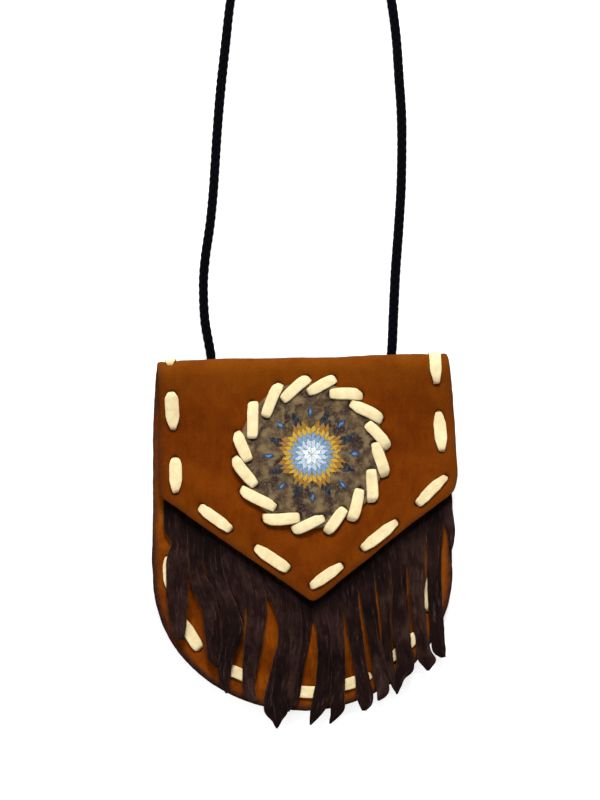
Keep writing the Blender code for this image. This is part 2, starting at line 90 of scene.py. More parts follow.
def rough(x, y, size, seed=0):
    """Smooth random hills of about that size, from -1 to 1."""
    x, y = np.asarray(x, float) / size, np.asarray(y, float) / size
    ix, iy = np.floor(x), np.floor(y)
    fx, fy = x - ix, y - iy
    ux, uy = fx * fx * fx * (fx * (fx * 6 - 15) + 10), fy * fy * fy * (fy * (fy * 6 - 15) + 10)
    a, b = lattice(ix, iy, seed), lattice(ix + 1, iy, seed)
    c, d = lattice(ix, iy + 1, seed), lattice(ix + 1, iy + 1, seed)
    return (a + (b - a) * ux) * (1 - uy) + (c + (d - c) * ux) * uy


def hills(x, y, size, seed=0):
    return (rough(x, y, size, seed) + 0.5 * rough(x, y, size / 2.1, seed + 7)
            + 0.25 * rough(x, y, size / 4.3, seed + 13)) / 1.75


def ease(v, a, b):
    t = np.clip((np.asarray(v, float) - a) / (b - a), 0, 1)
    return t * t * (3 - 2 * t)


def chance(n, seed=0):
    """A fixed number from -1 to 1 for item n."""
    return float(lattice(np.array(float(n)), np.array(3.0), seed + 51))


def catmull(points, step):
    """Points every step along a smooth curve through the given ones, any width of row."""
    p = np.asarray(points, float)
    p = np.vstack([2 * p[0] - p[1], p, 2 * p[-1] - p[-2]])
    dense = []
    t = np.arange(24)[:, None] / 24
    for a, b, c, d in zip(p, p[1:], p[2:], p[3:]):
        dense.append(0.5 * (2 * b + (c - a) * t + (2 * a - 5 * b + 4 * c - d) * t ** 2
                            + (3 * b - a - 3 * c + d) * t ** 3))
    dense = np.vstack(dense + [p[-2][None]])
    span = np.linalg.norm(np.diff(dense[:, :3], axis=0), axis=1)
    s = np.concatenate([[0], np.cumsum(span)])
    count = max(2, round(s[-1] / step))
    at = np.linspace(0, s[-1], count + 1)
    return np.stack([np.interp(at, s, dense[:, k]) for k in range(dense.shape[1])], 1)


# ================================================================ the bag's surfaces
SUEDE = 1.3
BOTTOM_H, SIDE_END, MOUTH_Y = 47.3, -10.0, 50.0
FOLD_Y, FOLD_R = 58.4, 4.675
FOLD_Z = FOLD_R + SUEDE / 2
FOLD_LONG = pi * FOLD_R
CORNER_L, CORNER_R, APEX = (-47.9, 16.9), (52.2, 17.6), (2.5, -19.8)
DISC_C, DISC_R = (3.4, 29.9), 24.5


def left_edge(y):
    """The pouch's left edge: it leans in towards the fold and bulges a little half way."""
    return np.interp(y, (-10, -4.5, 0, 10, 20, 30, 40, 50, 58.4),
                     (-51.7, -52.0, -51.6, -51.1, -50.9, -50.5, -50.2, -49.6, -48.9))


def right_edge(y):
    return np.interp(y, (-10, 0, 10, 20, 40, 50, 58.4), (50.2, 50.3, 50.5, 50.9, 50.9, 50.7, 50.4))


ROUND_X = float(left_edge(SIDE_END) + right_edge(SIDE_END)) / 2
HALF_W = float(right_edge(SIDE_END) - left_edge(SIDE_END)) / 2


def inset(x, y):
    """Distance in from the pouch's outline: straight-sided above SIDE_END, round below."""
    x, y = np.asarray(x, float), np.asarray(y, float)
    straight = np.minimum(x - left_edge(y), right_edge(y) - x)
    far = np.maximum(np.hypot(x - ROUND_X, y - SIDE_END), 1e-6)
    reach = np.maximum(np.hypot((x - ROUND_X) / HALF_W, (y - SIDE_END) / BOTTOM_H), 1e-9)
    return np.where(y >= SIDE_END, straight, far * (1 / reach - 1))


def dome(x, y):
    return ease(inset(x, y), 7.4, 22.0)


def back_under(x, y):
    return 1.25 * (1 - ease(inset(x, y), 7.8, 13.0)) * (1 - ease(y, 45, 55))


def front_under(x, y):
    return 2.95 + 3.7 * dome(x, y)


def vee(x):
    x = np.asarray(x, float)
    left = (APEX[1] - CORNER_L[1]) / (APEX[0] - CORNER_L[0])
    right = (CORNER_R[1] - APEX[1]) / (CORNER_R[0] - APEX[0])
    return APEX[1] + np.where(x < APEX[0], left, right) * (x - APEX[0])


def over_vee(x, y):
    return y - vee(x)


def lie(x, y):
    d = dome(x, y)
    return d + (1 - d) * ease(y, 38, 59)


def flap_rise(x, y):
    return 1 - ease(over_vee(x, y), 11, 24)


def flap_under(x, y):
    """Underside of the flap."""
    calm = 1 - ease(y, 46, 57)
    lace = ease(inset(x, y), 2, 7)
    ripple = 0.30 * hills(x, y, 26, 3) * lace + 0.10 * rough(x, y, 8, 5)
    return 6.6 + 2.75 * lie(x, y) + 1.4 * flap_rise(x, y) + ripple * calm


def strip_rest(x, y):
    """Underside of a fringe strip that lies on the front panel."""
    free = np.maximum(0.0, -inset(x, y))
    return 4.5 + 3.62 * dome(x, y) + 0.55 * (1 - ease(inset(x, y), 8, 12)) - 0.3 * free


def fold_radius(x, turn, h):
    """Radius of a point h above the fold's inner face, where the fold is drawn in by
    the laces that cross it and wavers a little."""
    x = np.asarray(x, float)
    sunk = (np.interp(x, (-47.5, -44, -40, -34, -27, -22, -14, -6, 0, 5, 14, 19, 25, 32, 43, 49),
                      (0.75, 0.70, 0.50, 0.52, 0.20, 0.25, 0.50, 0.65, 0.62, 0.80, 0.85, 0.68, 0.55, 0.50, 0.62, 0.5))
            + 0.90 * np.exp(-((x + 43.9) / 1.6) ** 2) + 1.0 * np.exp(-((x - 46.2) / 2.0) ** 2)
            + 0.08 * rough(x, 0 * x, 3.1, 21))
    return FOLD_R - SUEDE / 2 + h - sunk * np.sin(np.clip(turn, 0, pi)) ** 1.5


def flap_point(x, q, h):
    """A point h above the flap's underside; past FOLD_Y q runs along the fold, and past
    its far end down the back."""
    x, q, h = np.broadcast_arrays(np.asarray(x, float), np.asarray(q, float), np.asarray(h, float))
    turn = np.clip((q - FOLD_Y) / FOLD_R, 0, pi)
    r = fold_radius(x, turn, h)
    flat = np.stack([x, q, flap_under(x, q) + h], -1)
    bent = np.stack([x, FOLD_Y + r * np.sin(turn), FOLD_Z + r * np.cos(turn)], -1)
    return np.where((q <= FOLD_Y)[..., None], flat, bent)


def hide_middle(x, s):
    """The middle of the folded hide. s is y on the back, runs on round the fold and
    then down the flap."""
    x, s = np.asarray(x, float), np.asarray(s, float)
    ripple = 0.12 * hills(x, s, 24, 9) * ease(inset(x, np.minimum(s, FOLD_Y)), 3, 9) * (1 - ease(s, 44, 56))
    back = np.stack([x, s, back_under(x, s) + SUEDE / 2 + 0.06 + np.maximum(ripple, 0)], -1)
    q = 2 * FOLD_Y + FOLD_LONG - s
    flap = flap_point(x, q, SUEDE / 2)
    return np.where((s <= FOLD_Y)[..., None], back, flap)


def flat_s(y):
    """Place along the hide of a point of the flap."""
    return 2 * FOLD_Y + FOLD_LONG - y


# ================================================================ materials
def nodes_of(mat):
    mat.use_nodes = True
    tree = mat.node_tree
    return tree, tree.nodes["Principled BSDF"]


def add_node(tree, kind, **values):
    node = tree.nodes.new(kind)
    for key, value in values.items():
        if key.startswith("i_"):
            node.inputs[key[2:].replace("_", " ")].default_value = value
        else:
            setattr(node, key, value)
    return node


def lin(rgb):
    out = [c / 12.92 if c <= 0.04045 else ((c + 0.055) / 1.055) ** 2.4 for c in (v / 255 for v in rgb)]
    return (*out, 1)


def math_node(tree, op, a, b=None, clamp=False):
    node = tree.nodes.new("ShaderNodeMath")
    node.operation = op
    node.use_clamp = clamp
    for k, v in enumerate((a, b)):
        if v is None:
            continue
        if isinstance(v, (int, float)):
            node.inputs[k].default_value = v
        else:
            tree.links.new(v, node.inputs[k])
    return node.outputs[0]


def mix(tree, factor, a, b, kind='MIX'):
    node = tree.nodes.new("ShaderNodeMix")
    node.data_type = 'RGBA'
    node.blend_type = kind
    for k, v in ((0, factor), (6, a), (7, b)):
        if isinstance(v, (int, float, tuple)):
            node.inputs[k].default_value = v
        else:
            tree.links.new(v, node.inputs[k])
    return node.outputs[2]


def noise_node(tree, vector, scale, detail=3.0, rough_=0.55, distortion=0.0):
    node = add_node(tree, "ShaderNodeTexNoise", i_Scale=scale, i_Detail=detail,
                    i_Roughness=rough_, i_Distortion=distortion)
    tree.links.new(vector, node.inputs["Vector"])
    return node.outputs["Fac"]


def span(tree, value, a, b, low=0.0, high=1.0):
    """Maps a..b to low..high, held at both ends."""
    node = add_node(tree, "ShaderNodeMapRange", clamp=True)
    tree.links.new(value, node.inputs["Value"])
    for name, v in (("From Min", a), ("From Max", b), ("To Min", low), ("To Max", high)):
        node.inputs[name].default_value = v
    return node.outputs[0]


def attribute(tree, name):
    return add_node(tree, "ShaderNodeAttribute", attribute_name=name)


def stretched(tree, vector, scale, turn=0.0):
    node = add_node(tree, "ShaderNodeMapping")
    node.inputs["Scale"].default_value = scale
    node.inputs["Rotation"].default_value = (0, 0, turn)
    tree.links.new(vector, node.inputs["Vector"])
    return node.outputs[0]


def bump(tree, height, strength, distance, before=None):
    node = add_node(tree, "ShaderNodeBump")
    node.inputs["Strength"].default_value = strength
    node.inputs["Distance"].default_value = distance
    tree.links.new(height, node.inputs["Height"])
    if before is not None:
        tree.links.new(before, node.inputs["Normal"])
    return node.outputs[0]


def suede(name, deep, mid, light, edge, sheen=0.03, tint=(1.0, 0.5, 0.15, 1), nap=1.0, painted_highlight=None, outline_shade=0.5,
          edge_shaded=False, streaky=False):
    """Brushed suede. The cloth coordinates 'lay' are millimetres on the flat hide, 'rim'
    is 1 on a cut edge, 'near' fades from 1 at the outline to 0 inside, and 'hole' is 1
    round a punched hole. 'near' paints shade along the outline, and 'hole' paints shade
    round the holes and on the fringe under the flap's edge."""
    mat = bpy.data.materials.new(name)
    tree, bsdf = nodes_of(mat)
    lay = attribute(tree, "lay").outputs["Vector"]
    rim = attribute(tree, "rim").outputs["Fac"]
    near = attribute(tree, "near").outputs["Fac"]
    hole = attribute(tree, "hole").outputs["Fac"]
    patches = noise_node(tree, lay, 0.032, 3, 0.55, 0.6)
    blotch = noise_node(tree, lay, 0.14, 4, 0.62, 0.3)
    stroke = noise_node(tree, stretched(tree, lay, (0.55, 0.16, 1), radians(14)), 1.0, 3, 0.6, 0.5)
    fibre = noise_node(tree, stretched(tree, lay, (4.2, 1.7, 1), radians(9)), 1.0, 4, 0.7)
    grain = noise_node(tree, lay, 2.6, 5, 0.7)
    tone = math_node(tree, 'ADD', math_node(tree, 'MULTIPLY', span(tree, patches, 0.32, 0.68), 0.42),
                     math_node(tree, 'MULTIPLY', span(tree, blotch, 0.28, 0.72), 0.33))
    tone = math_node(tree, 'ADD', tone, math_node(tree, 'MULTIPLY', span(tree, stroke, 0.3, 0.7), 0.25))
    colour = mix(tree, span(tree, tone, 0.2, 0.55), lin(deep), lin(mid))
    colour = mix(tree, span(tree, tone, 0.5, 0.9), colour, lin(light))
    if painted_highlight:
        # painted highlight: the hide is painted paler and yellower where the fold rounds over, on the flap's right side
        # and near its V edge
        up = attribute(tree, "painted_highlight").outputs["Fac"]
        highlight_mask = math_node(tree, 'MULTIPLY', up, span(tree, blotch, 0.3, 0.62, 0.45, 1.0), True)
        colour = mix(tree, highlight_mask, colour, lin(painted_highlight))
    speck = math_node(tree, 'MULTIPLY', span(tree, grain, 0.38, 0.62, -1.0, 1.0), 0.15)
    speck = math_node(tree, 'ADD', speck, math_node(tree, 'MULTIPLY', span(tree, fibre, 0.35, 0.65, -1.0, 1.0), 0.14))
    bright = add_node(tree, "ShaderNodeHueSaturation")
    tree.links.new(colour, bright.inputs["Color"])
    tree.links.new(math_node(tree, 'ADD', speck, 1.0), bright.inputs["Value"])
    colour = bright.outputs[0]
    # painted shade: near its outline the suede darkens towards its edge colour
    outline_shade_mask = math_node(tree, 'MULTIPLY', near, span(tree, blotch, 0.35, 0.6, 0.4, 1.0), True)
    colour = mix(tree, math_node(tree, 'MULTIPLY', outline_shade_mask, outline_shade), colour, lin(edge))
    # cut edges take the edge colour: painted shade on the tan suedes, painted highlight on the dark fringe
    cut = math_node(tree, 'MULTIPLY', rim, 0.85)
    if streaky:
        # the cut edges catch the light in broken lines, a painted highlight, and paler and darker streaks down each
        # strip are painted highlight and shade on the nap
        broken = noise_node(tree, stretched(tree, lay, (0.5, 0.22, 0.5)), 1.0, 3, 0.6)
        cut = math_node(tree, 'MULTIPLY', cut, span(tree, broken, 0.42, 0.62, 0.15, 1.0))
        ridge = noise_node(tree, stretched(tree, lay, (1.5, 0.16, 1)), 1.0, 3, 0.62, 0.4)
        colour = mix(tree, span(tree, ridge, 0.58, 0.74, 0.0, 0.55), colour, lin((84, 62, 56)))
        colour = mix(tree, span(tree, ridge, 0.44, 0.30, 0.0, 0.6), colour, lin((16, 9, 9)))
    colour = mix(tree, cut, colour, lin(edge))
    if edge_shaded:
        # painted shade darkens the pouch's outer edge almost to black
        edge_shade = math_node(tree, 'MULTIPLY', attribute(tree, "edge_shade").outputs["Fac"],
                          span(tree, blotch, 0.3, 0.6, 0.7, 1.0), True)
        colour = mix(tree, edge_shade, colour, lin((34, 22, 20)))
    # painted shade: the hole attribute darkens the suede round punched holes, and the fringe under the flap's edge
    painted_shade = tuple(c * 0.22 for c in lin(deep)[:3]) + (1,)
    colour = mix(tree, math_node(tree, 'MULTIPLY', hole, 0.5), colour, painted_shade)
    tree.links.new(colour, bsdf.inputs["Base Color"])
    bsdf.inputs["Roughness"].default_value = 0.94
    bsdf.inputs["Specular IOR Level"].default_value = 0.02
    bsdf.inputs["Sheen Weight"].default_value = sheen
    bsdf.inputs["Sheen Roughness"].default_value = 0.45
    bsdf.inputs["Sheen Tint"].default_value = tint
    height = math_node(tree, 'ADD', math_node(tree, 'MULTIPLY', fibre, 0.6), math_node(tree, 'MULTIPLY', grain, 0.5))
    coarse = bump(tree, stroke, 0.35 * nap, 0.0006)
    tree.links.new(bump(tree, height, 0.75 * nap, 0.00035, coarse), bsdf.inputs["Normal"])
    return mat


hide_suede = suede("tobacco_suede", (90, 37, 3), (104, 46, 4), (114, 54, 6), (60, 34, 16),
                   painted_highlight=(113, 59, 8), outline_shade=0.35, edge_shaded=True)
front_suede = suede("rust_suede", (92, 38, 3), (122, 58, 5), (146, 76, 10), (56, 34, 26), outline_shade=0.9, edge_shaded=True)
dark_suede = suede("chocolate_suede", (17, 10, 11), (34, 20, 18), (60, 42, 37), (112, 80, 58),
                   sheen=0.03, tint=(0.8, 0.6, 0.55, 1), outline_shade=0.0, streaky=True)


def buckskin(name):
    mat = bpy.data.materials.new(name)
    tree, bsdf = nodes_of(mat)
    lay = attribute(tree, "lay").outputs["Vector"]
    rim = attribute(tree, "rim").outputs["Fac"]
    blotch = noise_node(tree, lay, 0.35, 4, 0.6, 0.4)
    pores = noise_node(tree, lay, 2.4, 4, 0.65)
    drawn = noise_node(tree, stretched(tree, lay, (0.28, 1.6, 1)), 1.0, 3, 0.6, 0.2)
    colour = mix(tree, span(tree, blotch, 0.34, 0.66), lin((218, 198, 150)), lin((230, 217, 174)))
    colour = mix(tree, span(tree, drawn, 0.52, 0.74, 0.0, 0.45), colour, lin((214, 186, 138)))
    colour = mix(tree, span(tree, pores, 0.56, 0.72, 0.0, 0.35), colour, lin((196, 170, 124)))
    # painted shade: the lace darkens along its edges and where it dives into a hole
    colour = mix(tree, math_node(tree, 'MULTIPLY', rim, 0.7), colour, lin((196, 150, 116)))
    tree.links.new(colour, bsdf.inputs["Base Color"])
    bsdf.inputs["Roughness"].default_value = 0.8
    bsdf.inputs["Specular IOR Level"].default_value = 0.1
    bsdf.inputs["Sheen Weight"].default_value = 0.03
    bsdf.inputs["Sheen Tint"].default_value = (1.0, 0.94, 0.8, 1)
    bsdf.inputs["Subsurface Weight"].default_value = 0.0
    height = math_node(tree, 'ADD', math_node(tree, 'MULTIPLY', drawn, 0.7), math_node(tree, 'MULTIPLY', pores, 0.45))
    tree.links.new(bump(tree, height, 0.55, 0.00035), bsdf.inputs["Normal"])
    return mat


cream_lace = buckskin("cream_buckskin")


def cord_material():
    mat = bpy.data.materials.new("black_braid")
    tree, bsdf = nodes_of(mat)
    lay = attribute(tree, "lay").outputs["Vector"]
    rim = attribute(tree, "rim").outputs["Fac"]
    fluff = noise_node(tree, lay, 1.3, 3, 0.6)
    # painted shade: the grooves between the raised strands are darker
    colour = mix(tree, span(tree, rim, 0.25, 0.95), lin((1, 1, 2)), lin((5, 6, 10)))
    colour = mix(tree, span(tree, fluff, 0.5, 0.75, 0.0, 0.6), colour, lin((10, 11, 16)))
    tree.links.new(colour, bsdf.inputs["Base Color"])
    bsdf.inputs["Roughness"].default_value = 0.7
    bsdf.inputs["Specular IOR Level"].default_value = 0.02
    tree.links.new(bump(tree, fluff, 0.4, 0.0003), bsdf.inputs["Normal"])
    return mat


black_cord = cord_material()


def disc_material():
    """Mottled taupe leather with a painted eight-pointed star in rows of lozenges."""
    mat = bpy.data.materials.new("painted_leather")
    tree, bsdf = nodes_of(mat)
    lay = attribute(tree, "lay").outputs["Vector"]
    rim = attribute(tree, "rim").outputs["Fac"]
    near = attribute(tree, "near").outputs["Fac"]
    hole = attribute(tree, "hole").outputs["Fac"]
    big = noise_node(tree, lay, 0.14, 3, 0.5, 0.6)
    mid = noise_node(tree, stretched(tree, lay, (1, 1, 1), 0.7), 0.29, 3, 0.5, 0.35)
    small = noise_node(tree, lay, 1.3, 4, 0.65)
    olive = noise_node(tree, stretched(tree, lay, (1, 1.2, 1), 2.1), 0.24, 3, 0.6, 0.9)
    leather = mix(tree, span(tree, big, 0.40, 0.60), lin((46, 32, 30)), lin((86, 67, 48)))
    leather = mix(tree, span(tree, mid, 0.48, 0.66, 0.0, 0.9), leather, lin((122, 104, 72)))
    leather = mix(tree, span(tree, mid, 0.46, 0.32, 0.0, 0.8), leather, lin((46, 34, 36)))
    leather = mix(tree, span(tree, olive, 0.52, 0.70, 0.0, 0.5), leather, lin((100, 86, 46)))
    leather = mix(tree, span(tree, small, 0.55, 0.70, 0.0, 0.5), leather, lin((146, 128, 96)))
    leather = mix(tree, math_node(tree, 'MULTIPLY', near, 0.4), leather, lin((116, 96, 64)))

    # paint: local coordinates from the disc's middle, shaken a little like a brush's edge
    shake = add_node(tree, "ShaderNodeTexNoise", i_Scale=0.9, i_Detail=2.0)
    tree.links.new(lay, shake.inputs["Vector"])
    centred = add_node(tree, "ShaderNodeVectorMath", operation='SUBTRACT')
    tree.links.new(shake.outputs["Color"], centred.inputs[0])
    centred.inputs[1].default_value = (0.5, 0.5, 0.5)
    scaled = add_node(tree, "ShaderNodeVectorMath", operation='SCALE')
    tree.links.new(centred.outputs[0], scaled.inputs[0])
    scaled.inputs["Scale"].default_value = 1.5
    shaken = add_node(tree, "ShaderNodeVectorMath", operation='ADD')
    tree.links.new(lay, shaken.inputs[0])
    tree.links.new(scaled.outputs[0], shaken.inputs[1])
    split = add_node(tree, "ShaderNodeSeparateXYZ")
    tree.links.new(shaken.outputs[0], split.inputs[0])
    px, py = split.outputs[0], split.outputs[1]
    angle = math_node(tree, 'ARCTAN2', py, px)
    far = math_node(tree, 'SQRT', math_node(tree, 'ADD', math_node(tree, 'MULTIPLY', px, px),
                                            math_node(tree, 'MULTIPLY', py, py)))
    # fold the circle into one of eight points, whose middle is at 22.5 degrees and so on
    eighth = pi / 4
    turn = math_node(tree, 'ADD', angle, 8 * pi + radians(90))
    part = math_node(tree, 'MODULO', turn, eighth)
    off = math_node(tree, 'ABSOLUTE', math_node(tree, 'SUBTRACT', part, eighth / 2))
    # rows of lozenges: each point is a rhombus with edges along +-22.5 degrees
    ax = math_node(tree, 'MULTIPLY', far, math_node(tree, 'COSINE', off))
    ay = math_node(tree, 'MULTIPLY', far, math_node(tree, 'SINE', off))
    alpha = math_node(tree, 'MULTIPLY', math_node(tree, 'ADD', math_node(tree, 'DIVIDE', ax, cos(eighth / 2)),
                                                  math_node(tree, 'DIVIDE', ay, sin(eighth / 2))), 0.5)
    beta = math_node(tree, 'MULTIPLY', math_node(tree, 'SUBTRACT', math_node(tree, 'DIVIDE', ax, cos(eighth / 2)),
                                                 math_node(tree, 'DIVIDE', ay, sin(eighth / 2))), 0.5)
    rows, cell = 4, 2.16
    star = math_node(tree, 'LESS_THAN', alpha, rows * cell)
    row = math_node(tree, 'ADD', math_node(tree, 'FLOOR', math_node(tree, 'DIVIDE', alpha, cell)),
                    math_node(tree, 'FLOOR', math_node(tree, 'DIVIDE', beta, cell)))
    ramp = add_node(tree, "ShaderNodeValToRGB")
    ramp.color_ramp.interpolation = 'CONSTANT'
    tones = [(222, 230, 236), (180, 198, 214), (118, 146, 176), (190, 150, 40), (150, 104, 24), (40, 34, 34), (18, 26, 44)]
    places = [0.0, 0.09, 0.24, 0.38, 0.53, 0.67, 0.81]
    ramp.color_ramp.elements[0].position = 0.0
    ramp.color_ramp.elements[0].color = lin(tones[0])
    ramp.color_ramp.elements[1].position = places[1]
    ramp.color_ramp.elements[1].color = lin(tones[1])
    for at, tone in zip(places[2:], tones[2:]):
        element = ramp.color_ramp.elements.new(at)
        element.color = lin(tone)
    tree.links.new(math_node(tree, 'DIVIDE', row, 6.6), ramp.inputs[0])
    paint = ramp.outputs[0]
    # thin dark lines between the lozenges
    def line(v):
        frac = math_node(tree, 'FRACT', math_node(tree, 'DIVIDE', v, cell))
        edge = math_node(tree, 'MINIMUM', frac, math_node(tree, 'SUBTRACT', 1.0, frac))
        return math_node(tree, 'LESS_THAN', edge, 0.055)
    lines = math_node(tree, 'MAXIMUM', line(alpha), line(beta))
    paint = mix(tree, math_node(tree, 'MULTIPLY', lines, 0.7), paint, lin((34, 34, 46)))
    # a small blue lozenge between the points, paler in its middle
    off2 = math_node(tree, 'ABSOLUTE', math_node(tree, 'SUBTRACT', math_node(tree, 'MODULO', math_node(
        tree, 'ADD', turn, eighth / 2), eighth), eighth / 2))
    gx = math_node(tree, 'SUBTRACT', math_node(tree, 'MULTIPLY', far, math_node(tree, 'COSINE', off2)), 14.6)
    gy = math_node(tree, 'MULTIPLY', far, math_node(tree, 'SINE', off2))
    gem = math_node(tree, 'LESS_THAN', math_node(tree, 'ADD', math_node(tree, 'MULTIPLY', math_node(
        tree, 'ABSOLUTE', gx), 0.42), gy), 1.0)
    gem_in = math_node(tree, 'LESS_THAN', math_node(tree, 'ADD', math_node(tree, 'MULTIPLY', math_node(
        tree, 'ABSOLUTE', gx), 0.42), gy), 0.5)
    blue = mix(tree, gem_in, lin((30, 50, 88)), lin((84, 124, 156)))
    paint = mix(tree, gem, paint, blue)
    mask = math_node(tree, 'MAXIMUM', star, gem)
    brush = noise_node(tree, stretched(tree, lay, (1.1, 0.3, 1), 0.5), 1.6, 3, 0.6)
    paint = mix(tree, span(tree, brush, 0.46, 0.72, 0.0, 0.5), paint, lin((96, 104, 108)))
    thin = math_node(tree, 'MULTIPLY', mask, span(tree, small, 0.62, 0.8, 1.0, 0.55))
    colour = mix(tree, thin, leather, paint)
    colour = mix(tree, math_node(tree, 'MULTIPLY', rim, 0.8), colour, lin((104, 84, 56)))
    # painted shade round the disc's punched holes
    colour = mix(tree, math_node(tree, 'MULTIPLY', hole, 0.75), colour, lin((26, 18, 14)))
    tree.links.new(colour, bsdf.inputs["Base Color"])
    tree.links.new(span(tree, mask, 0, 1, 0.78, 0.5), bsdf.inputs["Roughness"])
    bsdf.inputs["Specular IOR Level"].default_value = 0.12
    height = math_node(tree, 'ADD', math_node(tree, 'MULTIPLY', small, 0.5), math_node(tree, 'MULTIPLY', mid, 0.5))
    first = bump(tree, height, 0.6, 0.0004)
    tree.links.new(bump(tree, mask, 0.5, 0.0001, first), bsdf.inputs["Normal"])
    return mat


painted_leather = disc_material()


# ================================================================ sheets of leather
def resample(loop, step):
    """Even points along a closed loop of (x, y)."""
    p = np.vstack([loop, loop[:1]])
    s = np.concatenate([[0], np.cumsum(np.linalg.norm(np.diff(p, axis=0), axis=1))])
    n = max(8, round(s[-1] / step))
    at = np.linspace(0, s[-1], n, endpoint=False)
    return np.stack([np.interp(at, s, p[:, 0]), np.interp(at, s, p[:, 1])], 1)


def rounded(corners, step=0.5):
    """A closed loop through (x, y, radius) corners, each rounded with its radius."""
    out = []
    n = len(corners)
    for k in range(n):
        p = np.array(corners[k][:2], float)
        r = corners[k][2]
        a = np.array(corners[k - 1][:2], float) - p
        b = np.array(corners[(k + 1) % n][:2], float) - p
        la, lb = np.linalg.norm(a), np.linalg.norm(b)
        if r <= 0:
            out.append(p)
            continue
        r = min(r, la * 0.45, lb * 0.45)
        a, b = a / la * r, b / lb * r
        for t in np.linspace(0, 1, 7):
            out.append((1 - t) ** 2 * (p + a) + 2 * t * (1 - t) * p + t * t * (p + b))
    return np.array(out)


def inside(points, loop):
    """Which points lie inside a closed loop."""
    x, y = points[:, 0], points[:, 1]
    result = np.zeros(len(points), bool)
    a = loop
    b = np.roll(loop, -1, axis=0)
    for (x0, y0), (x1, y1) in zip(a, b):
        if y0 == y1:
            continue
        crosses = (y0 > y) != (y1 > y)
        result ^= crosses & (x < (x1 - x0) * (y - y0) / (y1 - y0) + x0)
    return result


def nearest(points, others):
    """Distance from each point to the nearest of the others."""
    out = np.full(len(points), 1e9)
    for k in range(0, len(points), 2000):
        chunk = points[k:k + 2000]
        d = np.sqrt(((chunk[:, None, :] - others[None, :, :]) ** 2).sum(2))
        out[k:k + 2000] = d.min(1)
    return out


def vertex_normals(co, tris):
    n = np.zeros_like(co)
    face = np.cross(co[tris[:, 1]] - co[tris[:, 0]], co[tris[:, 2]] - co[tris[:, 0]])
    for k in range(3):
        np.add.at(n, tris[:, k], face)
    return n / np.maximum(np.linalg.norm(n, axis=1), 1e-12)[:, None]


def make_mesh(name, co, faces, mats, attributes=(), material_index=None, smooth=True):
    mesh = bpy.data.meshes.new(name)
    mesh.from_pydata([tuple(v) for v in metres(co)], [], [tuple(int(i) for i in f) for f in faces])
    for mat in mats:
        mesh.materials.append(mat)
    if material_index is not None:
        mesh.polygons.foreach_set("material_index", np.asarray(material_index, np.int32))
    for key, values in dict(attributes).items():
        values = np.asarray(values, np.float32)
        if values.ndim == 1:
            layer = mesh.attributes.new(key, 'FLOAT', 'POINT')
            layer.data.foreach_set("value", values)
        else:
            layer = mesh.attributes.new(key, 'FLOAT_VECTOR', 'POINT')
            layer.data.foreach_set("vector", values.ravel())
    if smooth:
        mesh.shade_smooth()
    mesh.update()
    obj = bpy.data.objects.new(name, mesh)
    bpy.context.scene.collection.objects.link(obj)
    return obj


